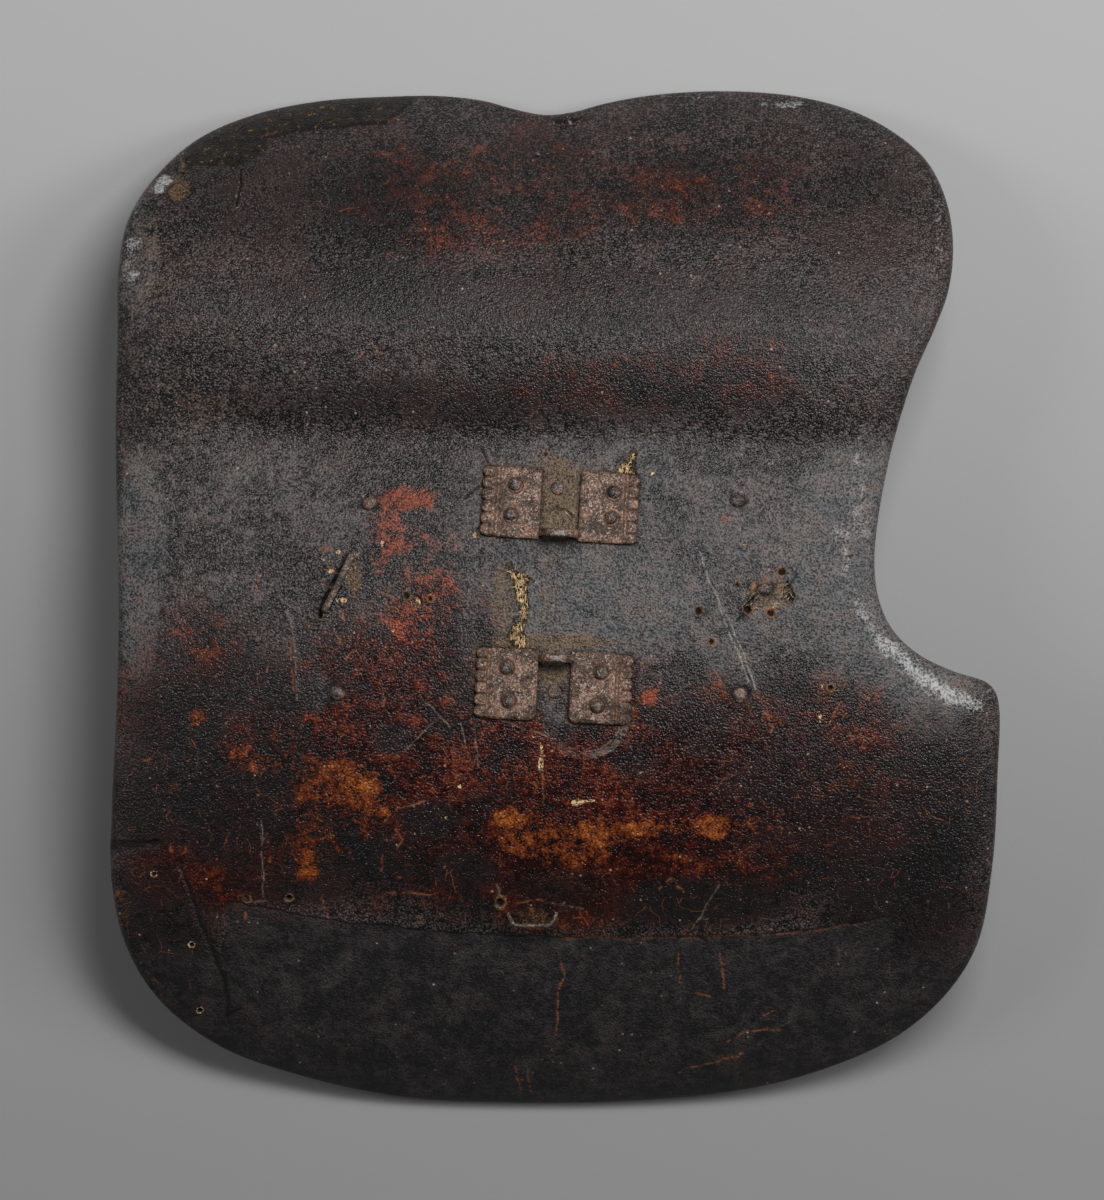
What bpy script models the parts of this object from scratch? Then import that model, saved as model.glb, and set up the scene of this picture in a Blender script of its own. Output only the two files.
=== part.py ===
"""A targe: a wooden jousting shield covered in dark leather, modelled from the bearer's side.

It lies on its front with its back up: +X to the right, +Y to its top edge, +Z up. The back has a
bulge across its lower two thirds, a valley above it, then a crest, and a flange that falls away to
the top edge. The right side has a deep notch for the lance. Iron fittings are nailed to the back.
"""

import math

import bmesh
import bpy
import numpy as np
from mathutils import Matrix, Vector

# Board, in metres
HEIGHT = 0.540
WIDTH = 0.470
THICKNESS = 0.012
CLEARANCE = 0.0003

# Outline, as shares of WIDTH and HEIGHT from the middle, clockwise as seen from the back
TOP_EDGE = [
    (-0.4499, 0.4144), (-0.4032, 0.4519), (-0.3411, 0.4763), (-0.2670, 0.4901), (-0.1873, 0.4946),
    (-0.1304, 0.4951), (-0.0803, 0.4901), (-0.0450, 0.4816), (-0.0108, 0.4759), (0.0199, 0.4785),
    (0.0564, 0.4871), (0.1088, 0.4955), (0.1862, 0.5000), (0.2682, 0.4955), (0.3308, 0.4822),
    (0.3795, 0.4611),
]
RIGHT_SHOULDER = [
    (0.4208, 0.4295), (0.4434, 0.3861), (0.4491, 0.3400), (0.4427, 0.2982), (0.4276, 0.2627),
]
LANCE_NOTCH = [
    (0.4055, 0.2198), (0.3885, 0.1747), (0.3734, 0.1236), (0.3629, 0.0746), (0.3587, 0.0335),
    (0.3637, -0.0036), (0.3794, -0.0330), (0.4077, -0.0564), (0.4472, -0.0731), (0.4858, -0.0848),
    (0.4971, -0.0985),
]
RIGHT_SIDE = [(0.4976, -0.1799), (0.4930, -0.2637), (0.4774, -0.3412)]
BOTTOM_EDGE = [
    (0.4432, -0.3912), (0.3906, -0.4325), (0.3194, -0.4628), (0.2226, -0.4865), (0.0746, -0.4984),
    (-0.0621, -0.4994), (-0.1839, -0.4934), (-0.2898, -0.4731), (-0.3784, -0.4446),
]
LEFT_SIDE = [
    (-0.4457, -0.3988), (-0.4843, -0.3422), (-0.4990, -0.2786), (-0.4980, -0.2094),
    (-0.4915, -0.1015), (-0.4892, -0.0036), (-0.4920, 0.0845), (-0.4940, 0.1632),
    (-0.4912, 0.2609), (-0.4908, 0.3202), (-0.4806, 0.3701),
]

# Form of the back, as heights over the bulge's foot and shares of HEIGHT for places along it
CROWN_PLACE = -0.046
CROWN_RISE = 0.098
UPPER_BULGE_RADIUS = 0.335
LOWER_BULGE_RADIUS = 0.380
LOWER_EDGE_FALL = 0.0159
CREST_PLACE = 0.250
CREST_SLANT = 0.042
EDGE_PLACE = 0.4972
EDGE_SLANT = 0.017
CREST_RISE = 0.090
CREST_RADIUS = 0.150
FLANGE_DROP = 0.086
FLANGE_POWER = 1.7
VALLEY_ROUNDING = 0.0035
VALLEY_FADE = 0.012
VALLEY_FADE_START = 0.55
SIDE_DROP = 0.014
SIDE_POWER = 2.4
ROLL_BAND = 0.026
ROLL_DROP = 0.0045
DIP_PLACE = -0.008
DIP_WIDTH = 0.030
DIP_DEPTH = 0.007
DIP_START = 0.250

# Brackets
BRACKET_LENGTH = 0.0825
BRACKET_HEIGHT = 0.0374
PLATE = 0.0024
UPPER_GAP = 0.0205
LOWER_GAP = 0.0172
UPPER_BRACKET_PLACE = (0.0062, 0.0891)
LOWER_BRACKET_PLACE = (-0.0011, -0.0874)
UPPER_BRACKET_TILT = math.radians(3.4)
LOWER_BRACKET_TILT = math.radians(2.9)
SCALLOPS = 6
SCALLOP_DEPTH = 0.0012
BOW_WIDTH = 0.0048
BOW_INSET = 0.0016
BOW_THICKNESS = 0.0025
BOW_RISE = 0.0070
BOW_PROFILE = [(0.0, 0.0), (0.05, 0.42), (0.12, 0.86), (0.22, 1.0)]
UPPER_RIVETS = [(-0.292, 0.234), (-0.310, -0.190), (0.338, 0.202), (0.333, -0.157)]
LOWER_RIVETS = [(-0.303, 0.226), (-0.282, -0.236), (0.296, 0.231), (0.282, -0.247)]
UPPER_MIDDLE_NAIL = (-0.024, 0.236)
LOWER_MIDDLE_NAIL = (0.008, -0.078)

# Nails and rivets
SHANK_RADIUS = 0.0017
SKIN_LEFT = 0.004
RIVET_HEAD_RADIUS = 0.0037
RIVET_HEAD_RISE = 0.0021
MIDDLE_HEAD_RADIUS = 0.0040
MIDDLE_HEAD_RISE = 0.0012
BOARD_HEAD_RADIUS = 0.0053
BOARD_HEAD_RISE = 0.0024
BOARD_NAILS = {
    "board_nail_upper_left": (-0.2068, 0.0910),
    "board_nail_upper_right": (0.2051, 0.0938),
    "board_nail_lower_left": (-0.2432, -0.0944),
    "board_nail_lower_right": (0.2073, -0.0963),
}
PATCH_RIVET_PLACE = (0.2356, 0.0068)
PATCH_RIVET_RADIUS = 0.0033
PATCH_RIVET_STRETCH = 1.4
PATCH_RIVET_TURN = math.radians(12)
PIN_RADIUS = 0.0016
PIN_SHANK_RADIUS = 0.0010
PIN_RISE = 0.0007
PINS = {
    "pin_top_left": (-0.0186, 0.4353),
    "pin_top_right": (0.0437, 0.4363),
    "pin_flange_right": (0.1819, 0.3311),
    "pin_side": (-0.2732, -0.0301),
}

# Staples
WIRE_RADIUS = 0.0010
WIRE_STAPLE_PLACE = (-0.0251, -0.3101)
WIRE_STAPLE_FEET = 0.0255
WIRE_STAPLE_BAR = 0.0195
WIRE_STAPLE_RISE = 0.0090
WIRE_STAPLE_LEAN = 0.0030
WIRE_STAPLE_BEND = 0.0020
SIDE_STAPLE_PLACE = (-0.2418, 0.0124)
SIDE_STAPLE_LENGTH = 0.0345
SIDE_STAPLE_TURN = math.radians(63.8)
SIDE_STAPLE_HALF_WIDTH = 0.0019
SIDE_STAPLE_HALF_RISE = 0.0013
SIDE_STAPLE_BEND = 0.0026

# How finely the faceted solids are made
OUTLINE_STEPS = 8
GRID_COLUMNS = 32
GRID_ROWS = 42
TURN_WEIGHT = 0.020
DIRECTION_SMOOTHING = 10
INNER_SMOOTHING = 12
GRADIENT_STEP = 0.0004
ROUND_SIDES = 10
PIN_SIDES = 8
WIRE_SIDES = 8


def clear_scene():
    for old in list(bpy.data.objects):
        bpy.data.objects.remove(old, do_unlink=True)


def material(name, colour, roughness, metallic):
    made = bpy.data.materials.new(name)
    made.use_nodes = True
    shader = made.node_tree.nodes["Principled BSDF"]
    shader.inputs["Base Color"].default_value = (*colour, 1.0)
    shader.inputs["Roughness"].default_value = roughness
    shader.inputs["Metallic"].default_value = metallic
    return made


def smooth_step(value):
    held = np.clip(value, 0.0, 1.0)
    return held * held * (3.0 - 2.0 * held)


def smooth_curve(knots, steps):
    """Closed centripetal curve through the knots, with the same number of steps in each span."""
    points = []
    count = len(knots)
    for index in range(count):
        p0, p1, p2, p3 = (knots[(index + shift) % count] for shift in (-1, 0, 1, 2))
        t1 = math.dist(p0, p1) ** 0.5
        t2 = t1 + math.dist(p1, p2) ** 0.5
        t3 = t2 + math.dist(p2, p3) ** 0.5
        for step in range(steps):
            t = t1 + (t2 - t1) * step / steps
            a1 = (t1 - t) / t1 * p0 + t / t1 * p1
            a2 = (t2 - t) / (t2 - t1) * p1 + (t - t1) / (t2 - t1) * p2
            a3 = (t3 - t) / (t3 - t2) * p2 + (t - t2) / (t3 - t2) * p3
            b1 = (t2 - t) / t2 * a1 + t / t2 * a2
            b2 = (t3 - t) / (t3 - t1) * a2 + (t - t1) / (t3 - t1) * a3
            points.append((t2 - t) / (t2 - t1) * b1 + (t - t1) / (t2 - t1) * b2)
    return np.array(points)


def board_outline():
    """The plan outline, scaled to WIDTH and HEIGHT exactly and centred on the origin."""
    sides = TOP_EDGE + RIGHT_SHOULDER + LANCE_NOTCH + RIGHT_SIDE + BOTTOM_EDGE + LEFT_SIDE
    knots = np.array(sides) * (WIDTH, HEIGHT)
    curve = smooth_curve(knots, OUTLINE_STEPS)
    low = curve.min(axis=0)
    high = curve.max(axis=0)
    return (curve - (low + high) / 2.0) * (WIDTH, HEIGHT) / (high - low)


OUTLINE = board_outline()


def edge_distance(x, y):
    """Distance in plan from each point to the outline."""
    points = np.stack([np.ravel(x), np.ravel(y)], axis=1)
    starts = OUTLINE
    spans = np.roll(OUTLINE, -1, axis=0) - starts
    lengths = (spans ** 2).sum(axis=1)
    offsets = points[:, None, :] - starts[None, :, :]
    along = np.clip((offsets * spans).sum(axis=2) / lengths, 0.0, 1.0)
    gaps = offsets - along[:, :, None] * spans
    nearest = np.sqrt((gaps ** 2).sum(axis=2).min(axis=1))
    return nearest.reshape(np.shape(x))


def bulge_height(y):
    """The bulge: an arc above its crown, and a steepening fall below it."""
    above = y - CROWN_PLACE * HEIGHT
    reach = (0.5 + CROWN_PLACE) * HEIGHT
    upper = CROWN_RISE - above ** 2 / (2.0 * UPPER_BULGE_RADIUS)
    lower = CROWN_RISE - above ** 2 / (2.0 * LOWER_BULGE_RADIUS)
    lower = lower - LOWER_EDGE_FALL * (above / reach) ** 4
    return np.where(above > 0.0, upper, lower)


def flange_height(x, y):
    """The crest, its short fall to the valley, and the flange up to the top edge."""
    crest = CREST_PLACE * HEIGHT - CREST_SLANT * x
    above = y - crest
    reach = EDGE_PLACE * HEIGHT + EDGE_SLANT * x - crest
    flange = CREST_RISE - FLANGE_DROP * (np.maximum(above, 0.0) / reach) ** FLANGE_POWER
    fall = CREST_RISE - above ** 2 / (2.0 * CREST_RADIUS)
    return np.where(above > 0.0, flange, fall)


def back_height(x, y):
    """Height of the back over the foot of the bulge, at any place in plan."""
    x = np.asarray(x, dtype=float)
    y = np.asarray(y, dtype=float)
    bulge = bulge_height(y)
    flange = flange_height(x, y)
    across = x / (WIDTH / 2.0)
    fade = smooth_step((-across - VALLEY_FADE_START) / (1.0 - VALLEY_FADE_START))
    rounding = VALLEY_ROUNDING + VALLEY_FADE * fade
    overlap = np.maximum(rounding - np.abs(bulge - flange), 0.0)
    height = np.maximum(bulge, flange) + overlap ** 2 / (4.0 * rounding)
    height = height - SIDE_DROP * np.abs(across) ** SIDE_POWER
    dip = np.exp(-((x - DIP_PLACE * WIDTH) / DIP_WIDTH) ** 2)
    height = height - DIP_DEPTH * dip * smooth_step((y / HEIGHT - DIP_START) / (0.5 - DIP_START))
    rolled = np.maximum(1.0 - edge_distance(x, y) / ROLL_BAND, 0.0)
    return height - ROLL_DROP * rolled ** 2


def back_normal(x, y):
    """Unit normals of the back, as an array with one row for each place."""
    step = GRADIENT_STEP
    slope_x = (back_height(x + step, y) - back_height(x - step, y)) / (2.0 * step)
    slope_y = (back_height(x, y + step) - back_height(x, y - step)) / (2.0 * step)
    normals = np.stack([-slope_x, -slope_y, np.ones_like(slope_x)], axis=-1)
    return normals / np.linalg.norm(normals, axis=-1, keepdims=True)


def seat(place, turn=0.0):
    """Frame on the back at a place in plan: Z along the normal, X turned from the board's X."""
    x, y = place
    height = float(back_height(x, y))
    normal = Vector(back_normal(np.array(x), np.array(y)))
    heading = Vector((math.cos(turn), math.sin(turn), 0.0))
    side = normal.cross(heading).normalized()
    ahead = side.cross(normal)
    rotation = Matrix((ahead, side, normal)).transposed().to_4x4()
    return Matrix.Translation((x, y, height)) @ rotation


def add_object(name, mesh, finish, parent, smooth_angle=40.0):
    made = bpy.data.objects.new(name, mesh)
    bpy.context.collection.objects.link(made)
    made.data.materials.append(finish)
    made.data.shade_smooth()
    made.data.set_sharp_from_angle(angle=math.radians(smooth_angle))
    made.parent = parent
    return made


def mesh_from(name, verts, faces):
    """A mesh with its faces turned outward."""
    mesh = bpy.data.meshes.new(name)
    mesh.from_pydata([tuple(float(part) for part in vert) for vert in verts], [], faces)
    shape = bmesh.new()
    shape.from_mesh(mesh)
    bmesh.ops.recalc_face_normals(shape, faces=shape.faces)
    shape.to_mesh(mesh)
    shape.free()
    return mesh


def side_samples(first_knot, last_knot, cells):
    """Places on the outline from one knot to another, closer together where it turns."""
    count = len(OUTLINE)
    start = first_knot * OUTLINE_STEPS
    stop = last_knot * OUTLINE_STEPS
    run = np.array([OUTLINE[index % count] for index in range(start, stop + 1)])
    before = run - np.array([OUTLINE[(index - 1) % count] for index in range(start, stop + 1)])
    after = np.array([OUTLINE[(index + 1) % count] for index in range(start, stop + 1)]) - run
    turn = np.arctan2(after[:, 1], after[:, 0]) - np.arctan2(before[:, 1], before[:, 0])
    turn = np.abs((turn + math.pi) % (2.0 * math.pi) - math.pi)
    lengths = np.linalg.norm(np.diff(run, axis=0), axis=1)
    weights = lengths + TURN_WEIGHT * (turn[:-1] + turn[1:]) / 2.0
    travelled = np.concatenate([[0.0], np.cumsum(weights)])
    wanted = np.linspace(0.0, travelled[-1], cells + 1)[:-1]
    return np.stack([np.interp(wanted, travelled, run[:, axis]) for axis in (0, 1)], axis=1)


def smoothed(loop, rounds):
    for _ in range(rounds):
        loop = (np.roll(loop, 1, axis=0) + 2.0 * loop + np.roll(loop, -1, axis=0)) / 4.0
    return loop


def boundary_loop():
    """Rim places in order, clockwise from the top left corner, and their outward directions."""
    right_start = len(TOP_EDGE)
    bottom_start = right_start + len(RIGHT_SHOULDER + LANCE_NOTCH + RIGHT_SIDE)
    left_start = bottom_start + len(BOTTOM_EDGE)
    end = left_start + len(LEFT_SIDE)
    rim = np.concatenate([
        side_samples(0, right_start, GRID_COLUMNS),
        side_samples(right_start, bottom_start, GRID_ROWS),
        side_samples(bottom_start, left_start, GRID_COLUMNS),
        side_samples(left_start, end, GRID_ROWS),
    ])
    along = np.roll(rim, -1, axis=0) - np.roll(rim, 1, axis=0)
    along = along / np.linalg.norm(along, axis=1, keepdims=True)
    outward = np.stack([-along[:, 1], along[:, 0]], axis=1)
    return rim, outward


def inner_loop(rim, outward):
    """The loop that bounds the grid, one ROLL_BAND in from the rim, without crossings."""
    gentle = smoothed(outward, DIRECTION_SMOOTHING)
    gentle = gentle / np.linalg.norm(gentle, axis=1, keepdims=True)
    return smoothed(rim - ROLL_BAND * gentle, INNER_SMOOTHING)


def grid_inside(loop):
    """Plan places of a grid blended between the four sides of the loop, [column][row]."""
    columns = GRID_COLUMNS
    rows = GRID_ROWS
    top = loop[:columns + 1]
    right = loop[columns:columns + rows + 1][::-1]
    bottom = loop[columns + rows:2 * columns + rows + 1][::-1]
    left = np.concatenate([loop[2 * columns + rows:], loop[:1]])
    u = np.linspace(0.0, 1.0, columns + 1)[:, None, None]
    v = np.linspace(0.0, 1.0, rows + 1)[None, :, None]
    between_ends = (1.0 - v) * bottom[:, None, :] + v * top[:, None, :]
    between_sides = (1.0 - u) * left[None, :, :] + u * right[None, :, :]
    corners = (1.0 - u) * ((1.0 - v) * bottom[0] + v * top[0])
    corners = corners + u * ((1.0 - v) * bottom[-1] + v * top[-1])
    return between_ends + between_sides - corners


def loop_indices():
    """Grid places of the loop's points, in the loop's own order."""
    columns = GRID_COLUMNS
    rows = GRID_ROWS
    order = [(column, rows) for column in range(columns)]
    order += [(columns, row) for row in range(rows, 0, -1)]
    order += [(column, 0) for column in range(columns, 0, -1)]
    order += [(0, row) for row in range(rows)]
    return order


def rim_arcs(rim, outward):
    """Half round rim: loops of points from the back's edge round to the front's edge."""
    radius = THICKNESS / 2.0
    place = rim - radius * outward
    for _ in range(2):
        normal = back_normal(place[:, 0], place[:, 1])
        place = rim - radius * outward + radius * normal[:, :2]
    edge = np.column_stack([place, back_height(place[:, 0], place[:, 1])])
    level = np.column_stack([outward, np.zeros(len(outward))])
    tangent = np.roll(edge, -1, axis=0) - np.roll(edge, 1, axis=0)
    side = np.cross(normal, tangent)
    side = side / np.linalg.norm(side, axis=1, keepdims=True)
    side = side * np.sign((side * level).sum(axis=1, keepdims=True))
    widest = np.arctan2((level * side).sum(axis=1), (level * normal).sum(axis=1))
    centre = edge - radius * normal
    angles = [0.0 * widest, 0.5 * widest, widest]
    angles += [widest + (math.pi - widest) * share for share in (1.0 / 3.0, 2.0 / 3.0, 1.0)]
    loops = []
    for angle in angles:
        turn = angle[:, None]
        loops.append(centre + radius * (np.cos(turn) * normal + np.sin(turn) * side))
    return loops


def board_mesh():
    """The board as one closed mesh: back grid, rolled band, half round rim and coarser front."""
    rim, outward = boundary_loop()
    loop = inner_loop(rim, outward)
    grid = grid_inside(loop)
    heights = back_height(grid[..., 0], grid[..., 1])
    normals = back_normal(grid[..., 0], grid[..., 1])
    back = np.concatenate([grid, heights[..., None]], axis=2)
    front = back - THICKNESS * normals
    verts = []
    faces = []

    back_index = np.arange((GRID_COLUMNS + 1) * (GRID_ROWS + 1))
    back_index = back_index.reshape(GRID_COLUMNS + 1, GRID_ROWS + 1)
    verts.extend(back.reshape(-1, 3))
    for column in range(GRID_COLUMNS):
        for row in range(GRID_ROWS):
            near = [back_index[column, row], back_index[column + 1, row]]
            far = [back_index[column + 1, row + 1], back_index[column, row + 1]]
            faces.append([int(index) for index in near + far])

    previous = [int(back_index[place]) for place in loop_indices()]
    for arc in rim_arcs(rim, outward):
        current = list(range(len(verts), len(verts) + len(arc)))
        verts.extend(arc)
        for index in range(len(arc)):
            after = (index + 1) % len(arc)
            faces.append([previous[index], previous[after], current[after], current[index]])
        previous = current

    front_index = {}
    for column in range(0, GRID_COLUMNS + 1, 2):
        for row in range(0, GRID_ROWS + 1, 2):
            front_index[column, row] = len(verts)
            verts.append(front[column, row])
    for column in range(0, GRID_COLUMNS, 2):
        for row in range(0, GRID_ROWS, 2):
            near = [front_index[column, row], front_index[column, row + 2]]
            far = [front_index[column + 2, row + 2], front_index[column + 2, row]]
            faces.append(near + far)
    order = [front_index[place] for place in loop_indices()[::2]]
    for index in range(len(order)):
        first = order[index]
        second = order[(index + 1) % len(order)]
        one, two, three = (previous[(2 * index + shift) % len(previous)] for shift in (0, 1, 2))
        faces.append([one, two, first])
        faces.append([two, second, first])
        faces.append([two, three, second])
    return mesh_from("shield_board", verts, faces)


def turned_mesh(name, profile, sides, stretch=1.0):
    """A closed mesh turned about Z; the profile runs from the top pole to the bottom pole."""
    verts = []
    rings = []
    for radius, height in profile:
        if radius == 0.0:
            rings.append([len(verts)])
            verts.append((0.0, 0.0, height))
            continue
        rings.append(list(range(len(verts), len(verts) + sides)))
        for side in range(sides):
            angle = 2.0 * math.pi * side / sides
            verts.append((stretch * radius * math.cos(angle), radius * math.sin(angle), height))
    faces = []
    for upper, lower in zip(rings, rings[1:]):
        for side in range(sides):
            after = (side + 1) % sides
            if len(upper) == 1:
                faces.append([upper[0], lower[side], lower[after]])
            elif len(lower) == 1:
                faces.append([upper[side], lower[0], upper[after]])
            else:
                faces.append([upper[side], lower[side], lower[after], upper[after]])
    return mesh_from(name, verts, faces)


def nail_depth():
    return THICKNESS - SKIN_LEFT


def hole_radius(shank, sides):
    return shank + CLEARANCE / math.cos(math.pi / sides)


def nail_profile(head, rise, shank, lift, dome):
    """Head and shank: the head's underside is lift above the board, the dome its rounding."""
    top = [(0.0, lift + rise)]
    top += [(share * head, lift + rise * height) for share, height in dome]
    return top + [(head, lift), (shank, lift), (shank, -nail_depth()), (0.0, -nail_depth())]


DOMED = [(0.42, 0.90), (0.80, 0.58)]
FLAT = [(0.70, 0.92)]


def cylinder_mesh(name, radius, low, high, sides):
    return turned_mesh(name, [(0.0, high), (radius, high), (radius, low), (0.0, low)], sides)


def joined_cutter(name, places, parent):
    """Cylinders for the shank holes as one cutter; each place is a frame, a radius and sides."""
    shape = bmesh.new()
    for frame, shank, sides in places:
        hole = cylinder_mesh(name, hole_radius(shank, sides), -nail_depth() - CLEARANCE, THICKNESS, sides)
        hole.transform(frame)
        shape.from_mesh(hole)
        bpy.data.meshes.remove(hole)
    mesh = bpy.data.meshes.new(name)
    shape.to_mesh(mesh)
    shape.free()
    cutter = bpy.data.objects.new(name, mesh)
    bpy.context.collection.objects.link(cutter)
    cutter.parent = parent
    cutter.hide_render = True
    cutter.display_type = "WIRE"
    return cutter


def cut(target, cutter):
    modifier = target.modifiers.new("holes", "BOOLEAN")
    modifier.operation = "DIFFERENCE"
    modifier.solver = "EXACT"
    modifier.object = cutter


def bracket_frame(place, tilt):
    """Turns a bracket's own plan coordinates into the board's."""
    centre_x = place[0] * WIDTH
    centre_y = place[1] * HEIGHT

    def to_board(u, v):
        x = centre_x + u * math.cos(tilt) + v * math.sin(tilt)
        y = centre_y - u * math.sin(tilt) + v * math.cos(tilt)
        return x, y

    return to_board


def lobe_rows(bow_side):
    """Heights of the lobe's rows: scallop valleys and peaks, and the bow's two edges."""
    rows = [BRACKET_HEIGHT * (step / (2.0 * SCALLOPS) - 0.5) for step in range(2 * SCALLOPS + 1)]
    outer = bow_side * (BRACKET_HEIGHT / 2.0 - BOW_INSET)
    inner = outer - bow_side * BOW_WIDTH
    spacing = BRACKET_HEIGHT / (2.0 * SCALLOPS) / 2.5
    kept = [row for row in rows if min(abs(row - outer), abs(row - inner)) > spacing]
    return sorted(kept + [outer, inner]), sorted([outer, inner])


def scallop_reach(v):
    """Half length of the bracket at a height: full at each scallop's middle."""
    phase = (v / BRACKET_HEIGHT + 0.5) * SCALLOPS * math.pi
    return BRACKET_LENGTH / 2.0 - SCALLOP_DEPTH * (1.0 - abs(math.sin(phase)))


def bracket_mesh(name, place, tilt, gap, bow_side):
    """Two lobes that follow the board, and the raised bow that joins them, as one closed mesh."""
    to_board = bracket_frame(place, tilt)
    rows, bow_rows = lobe_rows(bow_side)
    shares = (0.0, 0.35, 0.7, 1.0)
    verts = []
    faces = []

    def add(u, v, lift):
        x, y = to_board(u, v)
        verts.append((x, y, float(back_height(x, y)) + lift))
        return len(verts) - 1

    inner_edges = {}
    for side in (-1, 1):
        layers = []
        for lift in (CLEARANCE, CLEARANCE + PLATE):
            layer = []
            for v in rows:
                start = gap / 2.0
                reach = scallop_reach(v) - start
                layer.append([add(side * (start + share * reach), v, lift) for share in shares])
            layers.append(layer)
        low, high = layers
        for row in range(len(rows) - 1):
            for column in range(len(shares) - 1):
                for layer in layers:
                    faces.append([
                        layer[row][column], layer[row][column + 1],
                        layer[row + 1][column + 1], layer[row + 1][column],
                    ])
            faces.append([low[row][-1], low[row + 1][-1], high[row + 1][-1], high[row][-1]])
            if rows[row] != bow_rows[0]:
                faces.append([low[row][0], low[row + 1][0], high[row + 1][0], high[row][0]])
            else:
                inner_edges[side] = [low[row][0], low[row + 1][0], high[row + 1][0], high[row][0]]
        for row in (0, len(rows) - 1):
            for column in range(len(shares) - 1):
                faces.append([
                    low[row][column], low[row][column + 1],
                    high[row][column + 1], high[row][column],
                ])

    previous = inner_edges[-1]
    for section in bow_sections(to_board, gap, bow_rows):
        current = list(range(len(verts), len(verts) + 4))
        verts.extend(section)
        for corner in range(4):
            after = (corner + 1) % 4
            faces.append([previous[corner], previous[after], current[after], current[corner]])
        previous = current
    last = inner_edges[1]
    for corner in range(4):
        after = (corner + 1) % 4
        faces.append([previous[corner], previous[after], last[after], last[corner]])
    return mesh_from(name, verts, faces)


def bow_sections(to_board, gap, bow_rows):
    """Cross-sections of the bow between the lobes; its crown is flat, level with the seat."""
    middle_v = sum(bow_rows) / 2.0
    x0, y0 = to_board(0.0, middle_v)
    z0 = float(back_height(x0, y0))
    normal = back_normal(np.array(x0), np.array(y0))
    slope_x = -normal[0] / normal[2]
    slope_y = -normal[1] / normal[2]
    rising = list(BOW_PROFILE)
    falling = [(1.0 - share, rise) for share, rise in reversed(BOW_PROFILE)]
    path = [((share - 0.5) * gap, BOW_RISE * rise) for share, rise in rising + falling]
    middle = CLEARANCE + PLATE / 2.0
    sections = []
    for index in range(1, len(path) - 1):
        back = Vector(path[index]) - Vector(path[index - 1])
        ahead = Vector(path[index + 1]) - Vector(path[index])
        heading = (back.normalized() + ahead.normalized()).normalized()
        across = Vector((-heading.y, heading.x)) * BOW_THICKNESS / 2.0
        across = across / max(heading.dot(ahead.normalized()), 0.5)
        under = Vector(path[index]) - across
        over = Vector(path[index]) + across
        section = []
        for point, v in ((under, 0), (under, 1), (over, 1), (over, 0)):
            x, y = to_board(point.x, bow_rows[v])
            plane = z0 + slope_x * (x - x0) + slope_y * (y - y0)
            section.append((x, y, plane + middle + point.y))
        sections.append(section)
    return sections


def add_bracket(label, place, tilt, gap, bow_side, rivets, middle_nail, iron, parent):
    """One bracket with its four rivets and its middle nail; returns its holes in the board."""
    to_board = bracket_frame(place, tilt)
    name = label + "_strap_bracket"
    bracket = add_object(name, bracket_mesh(name, place, tilt, gap, bow_side), iron, parent, 30.0)
    holes = []
    lift = 2.0 * CLEARANCE + PLATE
    profile = nail_profile(RIVET_HEAD_RADIUS, RIVET_HEAD_RISE, SHANK_RADIUS, lift, DOMED)
    for number, (share_u, share_v) in enumerate(rivets, start=1):
        frame = seat(to_board(share_u * BRACKET_LENGTH, share_v * BRACKET_HEIGHT))
        holes.append((frame, SHANK_RADIUS, ROUND_SIDES))
        rivet_name = f"{label}_bracket_rivet_{number}"
        rivet = add_object(rivet_name, turned_mesh(rivet_name, profile, ROUND_SIDES), iron, parent)
        rivet.matrix_local = frame
    cut(bracket, joined_cutter(label + "_bracket_holes", list(holes), parent))

    frame = seat(to_board(middle_nail[0] * BRACKET_LENGTH, middle_nail[1] * BRACKET_HEIGHT))
    flat = nail_profile(MIDDLE_HEAD_RADIUS, MIDDLE_HEAD_RISE, SHANK_RADIUS, CLEARANCE, FLAT)
    nail_name = label + "_middle_nail"
    nail = add_object(nail_name, turned_mesh(nail_name, flat, ROUND_SIDES), iron, parent)
    nail.matrix_local = frame
    holes.append((frame, SHANK_RADIUS, ROUND_SIDES))
    return holes


def on_board(place):
    return place[0] * WIDTH, place[1] * HEIGHT


def add_nails(iron, parent):
    """The large domed nails, the oval rivet head and the small pins; returns their holes."""
    holes = []
    domed = nail_profile(BOARD_HEAD_RADIUS, BOARD_HEAD_RISE, SHANK_RADIUS, CLEARANCE, DOMED)
    for name, place in BOARD_NAILS.items():
        frame = seat(on_board(place))
        nail = add_object(name, turned_mesh(name, domed, ROUND_SIDES), iron, parent)
        nail.matrix_local = frame
        holes.append((frame, SHANK_RADIUS, ROUND_SIDES))

    frame = seat(on_board(PATCH_RIVET_PLACE), PATCH_RIVET_TURN)
    oval = nail_profile(PATCH_RIVET_RADIUS, RIVET_HEAD_RISE, PIN_SHANK_RADIUS, CLEARANCE, DOMED)
    mesh = turned_mesh("patch_rivet", oval, ROUND_SIDES, PATCH_RIVET_STRETCH)
    rivet = add_object("patch_rivet", mesh, iron, parent)
    rivet.matrix_local = frame
    holes.append((frame, PIN_SHANK_RADIUS * PATCH_RIVET_STRETCH, ROUND_SIDES))

    small = nail_profile(PIN_RADIUS, PIN_RISE, PIN_SHANK_RADIUS, CLEARANCE, FLAT)
    for name, place in PINS.items():
        frame = seat(on_board(place))
        pin = add_object(name, turned_mesh(name, small, PIN_SIDES), iron, parent)
        pin.matrix_local = frame
        holes.append((frame, PIN_SHANK_RADIUS, PIN_SIDES))
    return holes


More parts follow.
